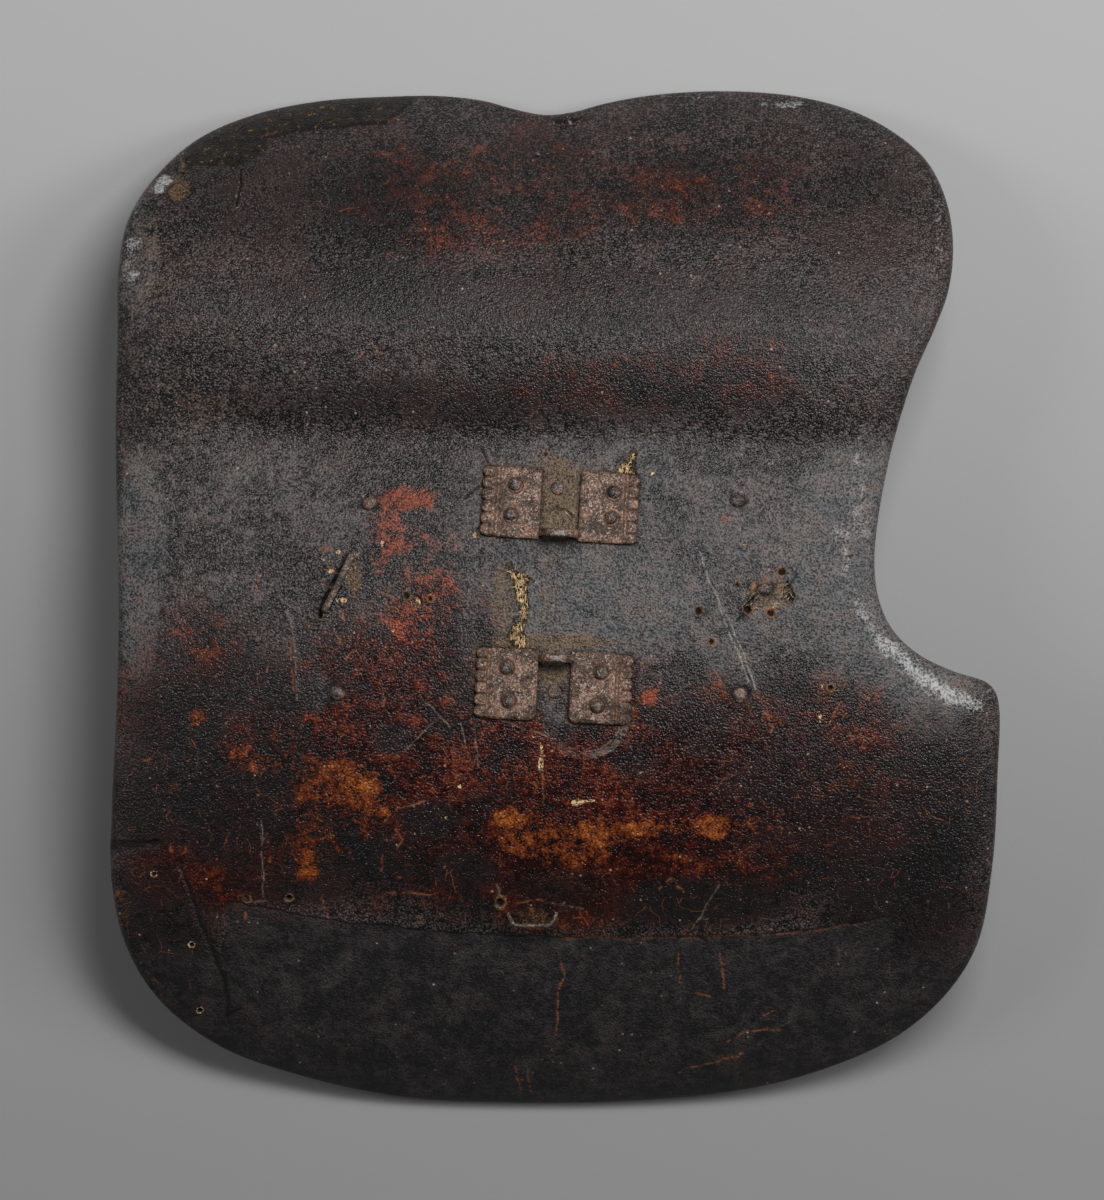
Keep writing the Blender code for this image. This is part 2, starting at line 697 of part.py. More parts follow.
def swept_mesh(name, path, half_width, half_rise, across, sides):
    """A closed bar along a path; half_width is measured along the across direction."""
    verts = []
    rings = []
    for index, point in enumerate(path):
        back = path[index] - path[max(index - 1, 0)]
        ahead = path[min(index + 1, len(path) - 1)] - path[index]
        heading = (back.normalized() + ahead.normalized()).normalized()
        up = heading.cross(across).normalized()
        rings.append(list(range(len(verts), len(verts) + sides)))
        for side in range(sides):
            angle = 2.0 * math.pi * side / sides
            offset = across * half_width * math.cos(angle) + up * half_rise * math.sin(angle)
            verts.append(point + offset)
    faces = [rings[0][::-1], rings[-1]]
    for first, second in zip(rings, rings[1:]):
        for side in range(sides):
            after = (side + 1) % sides
            faces.append([first[side], second[side], second[after], first[after]])
    return mesh_from(name, verts, faces)


def bent_path(corners, bend):
    """A path through the corners, with each inner corner cut by a short three point bend."""
    path = [corners[0]]
    for before, corner, after in zip(corners, corners[1:], corners[2:]):
        into = (before - corner).normalized() * bend
        out = (after - corner).normalized() * bend
        path += [corner + into, corner + (into + out) * 0.29, corner + out]
    return path + [corners[-1]]


def add_wire_staple(iron, parent):
    """The bent wire loop: its legs go into the board and its bar leans to the bottom edge."""
    foot = WIRE_STAPLE_FEET / 2.0
    bar = WIRE_STAPLE_BAR / 2.0
    depth = nail_depth()
    corners = [
        Vector((-foot, 0.0, -depth)),
        Vector((-foot, 0.0, WIRE_RADIUS)),
        Vector((-bar, -WIRE_STAPLE_LEAN, WIRE_STAPLE_RISE)),
        Vector((bar, -WIRE_STAPLE_LEAN, WIRE_STAPLE_RISE)),
        Vector((foot, 0.0, WIRE_RADIUS)),
        Vector((foot, 0.0, -depth)),
    ]
    path = bent_path(corners, WIRE_STAPLE_BEND / 2.0)
    across = Vector((0.0, 1.0, 0.0))
    mesh = swept_mesh("wire_staple", path, WIRE_RADIUS, WIRE_RADIUS, across, WIRE_SIDES)
    staple = add_object("wire_staple", mesh, iron, parent, 60.0)
    frame = seat(on_board(WIRE_STAPLE_PLACE))
    staple.matrix_local = frame
    legs = (Matrix.Translation((side * foot, 0.0, 0.0)) for side in (-1, 1))
    return [(frame @ leg, WIRE_RADIUS, WIRE_SIDES) for leg in legs]


def add_side_staple(iron, parent):
    """The flat hammered staple: its bridge lies on the leather and its legs go into the board."""
    reach = SIDE_STAPLE_LENGTH / 2.0 - SIDE_STAPLE_HALF_RISE
    rise = CLEARANCE + SIDE_STAPLE_HALF_RISE
    depth = nail_depth()
    corners = [
        Vector((-reach, 0.0, -depth)),
        Vector((-reach, 0.0, rise)),
        Vector((reach, 0.0, rise)),
        Vector((reach, 0.0, -depth)),
    ]
    path = bent_path(corners, min(SIDE_STAPLE_BEND, rise + SIDE_STAPLE_HALF_RISE) / 2.0)
    frame = seat(on_board(SIDE_STAPLE_PLACE), SIDE_STAPLE_TURN)
    across = Vector((0.0, 1.0, 0.0))
    mesh = swept_mesh(
        "side_staple", path, SIDE_STAPLE_HALF_WIDTH, SIDE_STAPLE_HALF_RISE, across, WIRE_SIDES,
    )
    staple = add_object("side_staple", mesh, iron, parent, 60.0)
    staple.matrix_local = frame
    legs = (Matrix.Translation((side * reach, 0.0, 0.0)) for side in (-1, 1))
    return [(frame @ leg, SIDE_STAPLE_HALF_WIDTH, WIRE_SIDES) for leg in legs]


def build():
    clear_scene()
    leather = material("dark_leather", (0.035, 0.024, 0.020), 0.45, 0.0)
    iron = material("rusted_iron", (0.085, 0.045, 0.032), 0.62, 0.6)

    mesh = board_mesh()
    lowest = min(vert.co.z for vert in mesh.vertices)
    floor_frame = bpy.data.objects.new("targe", None)
    bpy.context.collection.objects.link(floor_frame)
    floor_frame.location = (0.0, 0.0, -lowest)

    board = add_object("shield_board", mesh, leather, floor_frame)
    holes = add_bracket(
        "upper", UPPER_BRACKET_PLACE, UPPER_BRACKET_TILT, UPPER_GAP, -1,
        UPPER_RIVETS, UPPER_MIDDLE_NAIL, iron, floor_frame,
    )
    holes += add_bracket(
        "lower", LOWER_BRACKET_PLACE, LOWER_BRACKET_TILT, LOWER_GAP, 1,
        LOWER_RIVETS, LOWER_MIDDLE_NAIL, iron, floor_frame,
    )
    holes += add_nails(iron, floor_frame)
    holes += add_wire_staple(iron, floor_frame)
    holes += add_side_staple(iron, floor_frame)
    cut(board, joined_cutter("board_holes", holes, floor_frame))
    bpy.context.view_layer.update()


build()
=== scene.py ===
"""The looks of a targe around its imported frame: a leather covered jousting shield on its front.

The camera looks straight down on the back, as in the photograph. Metres, +Z up. Places that are
read from the photograph are pixels of its 1104 x 1200 frame, and are turned into places on the
board by the camera's own scale.
"""

import math

import bmesh
import bpy
import numpy as np
from mathutils import Matrix, Vector


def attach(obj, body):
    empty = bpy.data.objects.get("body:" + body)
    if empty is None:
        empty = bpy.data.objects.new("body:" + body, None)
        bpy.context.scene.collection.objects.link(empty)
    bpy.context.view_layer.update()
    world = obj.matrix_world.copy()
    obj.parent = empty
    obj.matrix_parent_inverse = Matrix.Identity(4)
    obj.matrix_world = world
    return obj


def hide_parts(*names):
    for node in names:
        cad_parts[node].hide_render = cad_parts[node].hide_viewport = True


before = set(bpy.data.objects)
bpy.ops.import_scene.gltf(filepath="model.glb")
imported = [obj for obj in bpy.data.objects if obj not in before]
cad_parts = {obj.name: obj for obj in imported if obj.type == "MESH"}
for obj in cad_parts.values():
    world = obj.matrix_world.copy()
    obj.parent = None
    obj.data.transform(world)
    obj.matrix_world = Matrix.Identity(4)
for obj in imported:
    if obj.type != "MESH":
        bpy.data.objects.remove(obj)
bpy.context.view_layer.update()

# Board, as in the part's source
HEIGHT = 0.540
WIDTH = 0.470
THICKNESS = 0.012
CLEARANCE = 0.0003

# Outline, as shares of WIDTH and HEIGHT from the middle, clockwise as seen from the back
TOP_EDGE = [
    (-0.4499, 0.4144), (-0.4032, 0.4519), (-0.3411, 0.4763), (-0.2670, 0.4901), (-0.1873, 0.4946),
    (-0.1304, 0.4951), (-0.0803, 0.4901), (-0.0450, 0.4816), (-0.0108, 0.4759), (0.0199, 0.4785),
    (0.0564, 0.4871), (0.1088, 0.4955), (0.1862, 0.5000), (0.2682, 0.4955), (0.3308, 0.4822),
    (0.3795, 0.4611),
]
RIGHT_SHOULDER = [
    (0.4208, 0.4295), (0.4434, 0.3861), (0.4491, 0.3400), (0.4427, 0.2982), (0.4276, 0.2627),
]
LANCE_NOTCH = [
    (0.4055, 0.2198), (0.3885, 0.1747), (0.3734, 0.1236), (0.3629, 0.0746), (0.3587, 0.0335),
    (0.3637, -0.0036), (0.3794, -0.0330), (0.4077, -0.0564), (0.4472, -0.0731), (0.4858, -0.0848),
    (0.4971, -0.0985),
]
RIGHT_SIDE = [(0.4976, -0.1799), (0.4930, -0.2637), (0.4774, -0.3412)]
BOTTOM_EDGE = [
    (0.4432, -0.3912), (0.3906, -0.4325), (0.3194, -0.4628), (0.2226, -0.4865), (0.0746, -0.4984),
    (-0.0621, -0.4994), (-0.1839, -0.4934), (-0.2898, -0.4731), (-0.3784, -0.4446),
]
LEFT_SIDE = [
    (-0.4457, -0.3988), (-0.4843, -0.3422), (-0.4990, -0.2786), (-0.4980, -0.2094),
    (-0.4915, -0.1015), (-0.4892, -0.0036), (-0.4920, 0.0845), (-0.4940, 0.1632),
    (-0.4912, 0.2609), (-0.4908, 0.3202), (-0.4806, 0.3701),
]

# Form of the back, as in the part's source
CROWN_PLACE = -0.046
CROWN_RISE = 0.098
UPPER_BULGE_RADIUS = 0.335
LOWER_BULGE_RADIUS = 0.380
LOWER_EDGE_FALL = 0.0159
CREST_PLACE = 0.250
CREST_SLANT = 0.042
EDGE_PLACE = 0.4972
EDGE_SLANT = 0.017
CREST_RISE = 0.090
CREST_RADIUS = 0.150
FLANGE_DROP = 0.086
FLANGE_POWER = 1.7
VALLEY_ROUNDING = 0.0035
VALLEY_FADE = 0.012
VALLEY_FADE_START = 0.55
SIDE_DROP = 0.014
SIDE_POWER = 2.4
ROLL_BAND = 0.026
ROLL_DROP = 0.0045
DIP_PLACE = -0.008
DIP_WIDTH = 0.030
DIP_DEPTH = 0.007
DIP_START = 0.250

# Iron fittings, as in the part's source
BRACKET_LENGTH = 0.0825
BRACKET_HEIGHT = 0.0374
PLATE = 0.0024
BRACKETS = {
    "upper": {
        "place": (0.0062, 0.0891), "tilt": math.radians(3.4), "gap": 0.0205, "bow_side": -1,
        "rivets": [(-0.292, 0.234), (-0.310, -0.190), (0.338, 0.202), (0.333, -0.157)],
        "middle_nail": (-0.024, 0.236), "filed": {-1: (0.0070, 0.0091), 1: (0.0057, 0.0076)},
    },
    "lower": {
        "place": (-0.0011, -0.0874), "tilt": math.radians(2.9), "gap": 0.0172, "bow_side": 1,
        "rivets": [(-0.303, 0.226), (-0.282, -0.236), (0.296, 0.231), (0.282, -0.247)],
        "middle_nail": (0.008, -0.078), "filed": {-1: (0.0060, 0.0074), 1: (0.0071, 0.0088)},
    },
}
SCALLOPS = 6
SCALLOP_DEPTH = 0.0012
BOW_WIDTH = 0.0048
BOW_INSET = 0.0016
BOW_THICKNESS = 0.0025
BOW_RISE = 0.0070
BOW_RAMP = 0.22
SHANK_RADIUS = 0.0017
RIVET_HEAD = (0.0037, 0.0021)
MIDDLE_HEAD = (0.0040, 0.0012)
BOARD_HEAD = (0.0053, 0.0024)
PATCH_HEAD = (0.0033, 0.0021)
PIN_HEAD = (0.0016, 0.0007)
# The hammered heads fill most of their round CAD discs, and a ring of painted shade on the leather surrounds
# them
BOARD_HEAD_SHARE = 0.84
BOARD_NAILS = {
    "board_nail_upper_left": (-0.2068, 0.0910),
    "board_nail_upper_right": (0.2051, 0.0938),
    "board_nail_lower_left": (-0.2432, -0.0944),
    "board_nail_lower_right": (0.2073, -0.0963),
}
PATCH_RIVET_PLACE = (0.2356, 0.0068)
PATCH_RIVET_STRETCH = 1.4
PATCH_RIVET_TURN = math.radians(12)
PINS = {
    "pin_top_left": (-0.0186, 0.4353),
    "pin_top_right": (0.0437, 0.4363),
    "pin_flange_right": (0.1819, 0.3311),
    "pin_side": (-0.2732, -0.0301),
}
WIRE_RADIUS = 0.0010
WIRE_STAPLE_PLACE = (-0.0251, -0.3101)
WIRE_STAPLE_FEET = 0.0255
WIRE_STAPLE_BAR = 0.0195
WIRE_STAPLE_RISE = 0.0090
WIRE_STAPLE_LEAN = 0.0030
SIDE_STAPLE_PLACE = (-0.2418, 0.0124)
SIDE_STAPLE_LENGTH = 0.0345
SIDE_STAPLE_TURN = math.radians(63.8)
SIDE_STAPLE_HALF_WIDTH = 0.0019
SIDE_STAPLE_HALF_RISE = 0.0013

# Camera, in metres and in pixels of the photograph
PHOTO_SIZE = (1104, 1200)
CAMERA_PLACE = (-0.00133, -0.00197, 6.0)
METRES_PER_PIXEL = 0.000535
SENSOR_HEIGHT = 24.0
CLIP = (0.1, 20.0)
SPOT_ROUNDS = 5

# Fineness of the board's mesh
OUTLINE_STEPS = 8
COLUMNS = 170
ROWS = 200
BAND_RINGS = 10
RIM_STEPS = 10
TURN_WEIGHT = 0.020
DIRECTION_SMOOTHING = 260
INNER_SMOOTHING = 320
GRADIENT_STEP = 0.0004
FINE_CUTS = 3
# How far from each kind of mark the mesh is cut finer: metres, then pixels, then a share of its size
FINE_BY_TEAR = 0.0030
FINE_BY_LINE = 0.0017
FINE_BY_CRUST = 0.0030
FINE_BY_SLOT = 0.0040
FINE_BY_HOLE = 5.0
FINE_BY_CHIP = 4
FINE_BY_SCUFF = 6.5
FINE_BY_SCAB = 0.45
FRONT_WAVES = 0.0004
RIM_CALM = 0.006
DISTANCE_CHUNK = 8192
NEAR_CELL = 0.006
NEAR_REACH = 20


def smooth_step(value):
    held = np.clip(value, 0.0, 1.0)
    return held * held * (3.0 - 2.0 * held)


# Shape of the back, as in the part's source


def smooth_curve(knots, steps):
    """Closed centripetal curve through the knots, with the same number of steps in each span."""
    points = []
    count = len(knots)
    for index in range(count):
        p0, p1, p2, p3 = (knots[(index + shift) % count] for shift in (-1, 0, 1, 2))
        t1 = math.dist(p0, p1) ** 0.5
        t2 = t1 + math.dist(p1, p2) ** 0.5
        t3 = t2 + math.dist(p2, p3) ** 0.5
        for step in range(steps):
            t = t1 + (t2 - t1) * step / steps
            a1 = (t1 - t) / t1 * p0 + t / t1 * p1
            a2 = (t2 - t) / (t2 - t1) * p1 + (t - t1) / (t2 - t1) * p2
            a3 = (t3 - t) / (t3 - t2) * p2 + (t - t2) / (t3 - t2) * p3
            b1 = (t2 - t) / t2 * a1 + t / t2 * a2
            b2 = (t3 - t) / (t3 - t1) * a2 + (t - t1) / (t3 - t1) * a3
            points.append((t2 - t) / (t2 - t1) * b1 + (t - t1) / (t2 - t1) * b2)
    return np.array(points)


def board_outline():
    """The plan outline, scaled to WIDTH and HEIGHT exactly and centred on the origin."""
    sides = TOP_EDGE + RIGHT_SHOULDER + LANCE_NOTCH + RIGHT_SIDE + BOTTOM_EDGE + LEFT_SIDE
    knots = np.array(sides) * (WIDTH, HEIGHT)
    curve = smooth_curve(knots, OUTLINE_STEPS)
    low = curve.min(axis=0)
    high = curve.max(axis=0)
    return (curve - (low + high) / 2.0) * (WIDTH, HEIGHT) / (high - low)


OUTLINE = board_outline()


def nearest_knots():
    """For each cell of a coarse grid near the outline its nearest outline point, and -1 elsewhere."""
    low = OUTLINE.min(axis=0) - NEAR_CELL
    count = np.ceil((OUTLINE.max(axis=0) + NEAR_CELL - low) / NEAR_CELL).astype(int)
    middles = [low[axis] + NEAR_CELL * (np.arange(count[axis]) + 0.5) for axis in (0, 1)]
    cells = np.stack(np.meshgrid(*middles, indexing="ij"), axis=-1)
    gaps = np.linalg.norm(cells[:, :, None, :] - OUTLINE, axis=3)
    nearest = gaps.argmin(axis=2)
    return low, np.where(gaps.min(axis=2) < ROLL_BAND + 2.0 * NEAR_CELL, nearest, -1)


NEAR_LOW, NEAR_KNOT = nearest_knots()


def edge_distance(x, y):
    """Distance in plan from each point to the outline, or ROLL_BAND where it is more than that."""
    points = np.stack([np.ravel(x), np.ravel(y)], axis=1)
    spans = np.roll(OUTLINE, -1, axis=0) - OUTLINE
    lengths = (spans ** 2).sum(axis=1)
    cell = np.floor((points - NEAR_LOW) / NEAR_CELL).astype(int)
    cell = np.clip(cell, 0, np.array(NEAR_KNOT.shape) - 1)
    knots = NEAR_KNOT[cell[:, 0], cell[:, 1]]
    distance = np.full(len(points), ROLL_BAND)
    near = np.flatnonzero(knots >= 0)
    for start in range(0, len(near), DISTANCE_CHUNK):
        rows = near[start:start + DISTANCE_CHUNK]
        window = (knots[rows, None] + np.arange(-NEAR_REACH, NEAR_REACH + 1)) % len(OUTLINE)
        offsets = points[rows, None, :] - OUTLINE[window]
        along = np.clip((offsets * spans[window]).sum(axis=2) / lengths[window], 0.0, 1.0)
        gaps = offsets - along[:, :, None] * spans[window]
        distance[rows] = np.sqrt((gaps ** 2).sum(axis=2).min(axis=1))
    return np.minimum(distance, ROLL_BAND).reshape(np.shape(x))


def bulge_height(y):
    above = y - CROWN_PLACE * HEIGHT
    reach = (0.5 + CROWN_PLACE) * HEIGHT
    upper = CROWN_RISE - above ** 2 / (2.0 * UPPER_BULGE_RADIUS)
    lower = CROWN_RISE - above ** 2 / (2.0 * LOWER_BULGE_RADIUS)
    lower = lower - LOWER_EDGE_FALL * (above / reach) ** 4
    return np.where(above > 0.0, upper, lower)


def flange_height(x, y):
    crest = CREST_PLACE * HEIGHT - CREST_SLANT * x
    above = y - crest
    reach = EDGE_PLACE * HEIGHT + EDGE_SLANT * x - crest
    flange = CREST_RISE - FLANGE_DROP * (np.maximum(above, 0.0) / reach) ** FLANGE_POWER
    fall = CREST_RISE - above ** 2 / (2.0 * CREST_RADIUS)
    return np.where(above > 0.0, flange, fall)


def back_height(x, y, rim_gap=None):
    """Height of the back over the foot of the bulge, at any place in plan."""
    x = np.asarray(x, dtype=float)
    y = np.asarray(y, dtype=float)
    bulge = bulge_height(y)
    flange = flange_height(x, y)
    across = x / (WIDTH / 2.0)
    fade = smooth_step((-across - VALLEY_FADE_START) / (1.0 - VALLEY_FADE_START))
    rounding = VALLEY_ROUNDING + VALLEY_FADE * fade
    overlap = np.maximum(rounding - np.abs(bulge - flange), 0.0)
    height = np.maximum(bulge, flange) + overlap ** 2 / (4.0 * rounding)
    height = height - SIDE_DROP * np.abs(across) ** SIDE_POWER
    dip = np.exp(-((x - DIP_PLACE * WIDTH) / DIP_WIDTH) ** 2)
    height = height - DIP_DEPTH * dip * smooth_step((y / HEIGHT - DIP_START) / (0.5 - DIP_START))
    if rim_gap is None:
        rim_gap = edge_distance(x, y)
    rolled = np.maximum(1.0 - rim_gap / ROLL_BAND, 0.0)
    return height - ROLL_DROP * rolled ** 2


def back_normal(x, y):
    """Unit normals of the back, as an array with one row for each place."""
    step = GRADIENT_STEP
    slope_x = (back_height(x + step, y) - back_height(x - step, y)) / (2.0 * step)
    slope_y = (back_height(x, y + step) - back_height(x, y - step)) / (2.0 * step)
    normals = np.stack([-slope_x, -slope_y, np.ones_like(slope_x)], axis=-1)
    return normals / np.linalg.norm(normals, axis=-1, keepdims=True)


def floor_shift():
    """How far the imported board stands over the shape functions' zero height."""
    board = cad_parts["shield_board"]
    co = np.array([vert.co for vert in board.data.vertices])
    inside = edge_distance(co[:, 0], co[:, 1]) >= ROLL_BAND
    gaps = co[inside, 2] - back_height(co[inside, 0], co[inside, 1])
    return float(np.median(gaps[gaps > np.median(gaps)]))


LIFT = floor_shift()


def seat(place, turn=0.0):
    """Frame on the back at a place in plan: Z along the normal, X turned from the board's X."""
    x, y = place
    height = float(back_height(x, y)) + LIFT
    normal = Vector(back_normal(np.array(x), np.array(y)))
    heading = Vector((math.cos(turn), math.sin(turn), 0.0))
    side = normal.cross(heading).normalized()
    ahead = side.cross(normal)
    rotation = Matrix((ahead, side, normal)).transposed().to_4x4()
    return Matrix.Translation((x, y, height)) @ rotation


def on_board(place):
    return place[0] * WIDTH, place[1] * HEIGHT


# Pixels of the photograph


def pixels_of(x, y, z):
    """Where the camera sees a point, in pixels of the photograph."""
    scale = METRES_PER_PIXEL * (CAMERA_PLACE[2] - z) / CAMERA_PLACE[2]
    px = PHOTO_SIZE[0] / 2.0 + (x - CAMERA_PLACE[0]) / scale
    py = PHOTO_SIZE[1] / 2.0 - (y - CAMERA_PLACE[1]) / scale
    return px, py


def spot(px, py, lift=0.0):
    """The place on the back that the camera sees at a pixel, lifted along Z."""
    x = y = 0.0
    for _ in range(SPOT_ROUNDS):
        z = float(back_height(x, y)) + LIFT + lift
        scale = METRES_PER_PIXEL * (CAMERA_PLACE[2] - z) / CAMERA_PLACE[2]
        x = CAMERA_PLACE[0] + (px - PHOTO_SIZE[0] / 2.0) * scale
        y = CAMERA_PLACE[1] - (py - PHOTO_SIZE[1] / 2.0) * scale
    return Vector((x, y, z))


# Noise from seeded lattices

LATTICE = 256
NOISE_SUM = 1.6


def lattice_noise(x, y, cell, seed):
    """Smooth noise from -1 to 1 whose hills are about one cell wide."""
    draws = np.random.default_rng(seed).uniform(-1.0, 1.0, (LATTICE, LATTICE))
    u = x / cell
    v = y / cell
    column = np.floor(u).astype(int)
    row = np.floor(v).astype(int)
    across = smooth_step(u - column)
    along = smooth_step(v - row)
    near = draws[column % LATTICE, row % LATTICE] * (1.0 - across)
    near = near + draws[(column + 1) % LATTICE, row % LATTICE] * across
    far = draws[column % LATTICE, (row + 1) % LATTICE] * (1.0 - across)
    far = far + draws[(column + 1) % LATTICE, (row + 1) % LATTICE] * across
    return near * (1.0 - along) + far * along


def rough_noise(x, y, cell, seed, octaves=4):
    total = np.zeros(np.shape(x))
    for octave in range(octaves):
        total = total + 0.5 ** octave * lattice_noise(x, y, cell / 2 ** octave, seed + octave)
    return total / NOISE_SUM


# Features of the leather, in pixels of the photograph

LOWER_SEAM = [(236, 903), (330, 920), (450, 933), (600, 938), (740, 937), (830, 928), (884, 917)]
RED_SEAM = [(562, 937), (600, 938), (690, 938), (795, 934), (831, 928), (866, 922)]
PATCH_SEAM = [
    (179, 863), (190, 893), (199, 918), (209, 946), (218, 966), (225, 986), (228, 1000), (226, 1018),
]
PATCH_BRANCH = [(226, 1018), (232, 1014), (240, 1010)]
PATCH_SLOT = [(114, 844), (130, 845), (148, 844), (158, 843)]
PATCH_SLOT_END = (154, 843)
PATCH_SLOT_SQUASH = 1.0 / 1.4
CENTRE_TEAR = [
    (509, 569, 0.8), (514, 575, 4.5), (521, 580, 9.0), (521, 588, 8.0), (522, 597, 6.5), (524, 604, 4.5),
    (525, 613, 4.0), (522, 621, 4.5), (517, 630, 7.5), (518, 639, 8.5), (521, 647, 5.0), (522, 652, 1.0),
]
FLAP_TEAR = [(634, 450, 0.8), (632, 457, 3.4), (629, 463, 6.0), (627, 468, 8.0), (626, 475, 9.0)]
STAPLE_HOLLOW = [(319, 617, 1.5), (326, 603, 4.0), (336, 584, 5.0), (343, 570, 3.0)]
STAPLE_SHADE = [(319, 615), (327, 594), (338, 572), (348, 555)]
NOTCH_TEAR = [(553, 119, 1.0), (562, 122, 3.0), (575, 120, 2.5), (584, 117, 0.5)]
PATCH_TEARS = [
    [(787, 582, 1.0), (788, 589, 3.8), (791, 597, 4.4), (792, 603, 1.0)],
    [(753, 599, 0.8), (749, 606, 2.6), (747, 611, 3.4), (743, 616, 0.8)],
]
CRACKS = [
    [(481, 448), (486, 458), (492, 467)], [(486, 481), (474, 490), (463, 499)], [(482, 523), (476, 531)],
    [(556, 507), (560, 510), (566, 511), (572, 517)], [(796, 574), (793, 580), (789, 587)],
    [(757, 594), (753, 599)], [(745, 614), (737, 622)], [(636, 452), (637, 478)],
    [(566, 112), (565, 122)], [(510, 562), (513, 574)], [(754, 598), (758, 594)],
    [(514, 574), (520, 579), (527, 577), (533, 582)], [(524, 599), (529, 606)],
    [(241, 168), (242, 183), (236, 206)], [(521, 618), (521, 634), (519, 648)], [(512, 626), (508, 636)],
    [(519, 584), (524, 596), (523, 606)],
]
CREASES = [[(276, 588), (285, 608), (292, 628), (295, 652), (297, 700)]]
STRONG_SCRATCHES = [
    [(699, 552), (708, 576), (714, 588), (729, 631), (744, 670), (748, 682)],
    [(725, 609), (738, 640), (756, 690)],
]
PALE_SCRATCHES = [
    [(789, 612), (797, 630), (804, 650), (810, 662)], [(262, 820), (262, 897)], [(267, 834), (262, 842)],
    [(248, 891), (251, 901), (246, 902)], [(254, 902), (268, 902)], [(427, 702), (438, 713), (449, 727)],
    [(461, 724), (466, 750)], [(474, 722), (478, 773)], [(496, 718), (548, 737)],
    [(718, 885), (705, 907), (698, 918), (691, 932)], [(699, 918), (707, 919)],
    [(496, 884), (500, 898)], [(560, 904), (584, 908)], [(404, 752), (440, 716)],
]
ORANGE_SCRATCHES = [
    [(291, 632), (291, 660), (293, 690)], [(256, 591), (257, 581), (262, 573), (268, 571)],
    [(378, 591), (392, 597)], [(382, 691), (385, 697), (384, 707)], [(543, 772), (544, 804)],
    [(384, 821), (396, 808), (425, 802)], [(396, 829), (403, 839), (398, 847)], [(386, 892), (442, 895)],
    [(381, 855), (381, 870)], [(322, 896), (330, 919)], [(678, 953), (680, 982)],
    [(720, 953), (723, 988)], [(696, 994), (710, 997)], [(561, 962), (564, 977), (560, 983), (555, 1037)],
    [(726, 1041), (744, 1031), (760, 1030), (783, 1030)],
    [(675, 1074), (686, 1067), (729, 1059), (743, 1051)], [(762, 1014), (774, 1011)],
    [(514, 1059), (516, 1078), (521, 1090)], [(527, 1068), (531, 1090)],
    [(659, 887), (671, 878), (684, 891)], [(244, 911), (244, 921)], [(342, 609), (343, 622)],
    [(338, 637), (341, 643)], [(845, 714), (833, 728)], [(360, 357), (368, 344), (377, 341)],
    [(375, 341), (381, 363)], [(318, 551), (324, 547), (331, 549)], [(328, 565), (333, 572), (339, 574)],
    [(324, 585), (334, 589)], [(343, 602), (340, 612), (343, 622)], [(337, 636), (341, 644)],
    [(346, 660), (352, 652), (362, 650)], [(380, 692), (385, 697), (384, 706)],
    [(262, 139), (270, 134), (277, 131)], [(763, 711), (769, 717), (773, 727), (771, 736)],
    [(847, 681), (838, 704), (829, 724)], [(516, 902), (534, 900), (553, 903)],
]
HOLES = [
    (698.5, 611, 3.2), (711.7, 642, 2.6), (407.5, 595.5, 3.0), (430, 599, 2.5), (500.6, 902, 4.2),
    (119, 897, 2.5), (781, 571, 3.8), (771, 612, 3.3), (738, 584, 1.8), (290, 899, 3.0), (748, 609, 3.6),
    (546, 454, 2.2), (831, 688, 2.4), (310, 627, 2.2), (320, 616, 2.4),
]
RING_HOLES = [(153.9, 873.9), (191.7, 944.4), (200.0, 1009.9)]
RAGGED_RIM = [(116, 885), (124, 910), (140, 950), (160, 985), (174, 1006)]
CHIPS = [
    (541.5, 750, 1.6, 9.0), (541.0, 765, 2.8, 7.0), (578, 802, 7.0, 3.0), (588, 801, 7.0, 1.4),
    (417.5, 603, 2.4, 5.5), (474, 536, 3.2, 2.4), (339, 553, 2.6, 2.2), (343.5, 600, 3.2, 3.2),
    (331, 571, 3.8, 2.0), (460, 787, 1.8, 1.8), (370, 727, 1.8, 1.5), (655, 436, 2.0, 1.8),
    (652, 473, 1.6, 1.4), (393, 631, 1.5, 1.5), (382, 543, 2.2, 3.2), (746, 546, 2.4, 1.2),
    (819, 717, 1.5, 6.0), (445, 818, 1.6, 1.4), (822, 687, 1.4, 2.0), (494, 537, 1.6, 1.6),
]
SCUFF_CENTRE = (586, 714.5)
SCUFF_RADII = (36.5, 39.5, 41.5, 43.5)
CRUST_EDGE = [
    (183, 176), (195, 163), (221, 166), (246, 163), (255, 158), (268, 138), (300, 131),
    (323, 129), (360, 124), (387, 122), (404, 108), (420, 96),
]
SCABS = [(178, 193, 12.0, 9.5, 0.75), (183.5, 168.5, 6.5, 6.0, 0.35)]
MARGIN = [
    (838, 540), (854, 597), (863, 615), (882, 642), (900, 658), (920, 676), (934, 686), (952, 697),
    (976, 705),
]
# Painted highlights on the rims and by the notch: middle, half axes and strength, in pixels
GLINTS = [
    (165, 180, 7, 7, 0.85), (159, 189, 6, 5, 0.85), (136, 206, 6, 10, 0.5), (132, 246, 8, 10, 0.6),
    (126, 262, 8, 12, 0.4), (130, 276, 12, 8, 0.4), (780, 104, 24, 3, 0.7), (765, 103, 6, 4, 0.7),
    (796, 104, 7, 5, 0.8), (939, 240, 6, 40, 0.35), (862, 500, 12, 70, 0.28), (840, 540, 10, 30, 0.3),
    (672, 96, 60, 3, 0.3), (564, 122, 14, 4, 0.4), (990, 695, 5, 10, 0.4), (860, 608, 7, 12, 0.6),
]

# Painted shadow under each bracket's bow: middle x, middle y and reach along x, in pixels
BRACKET_SHADOWS = [(556, 541, 27), (552, 668, 20)]
BRACKET_SHADOW_HALF = 5.5

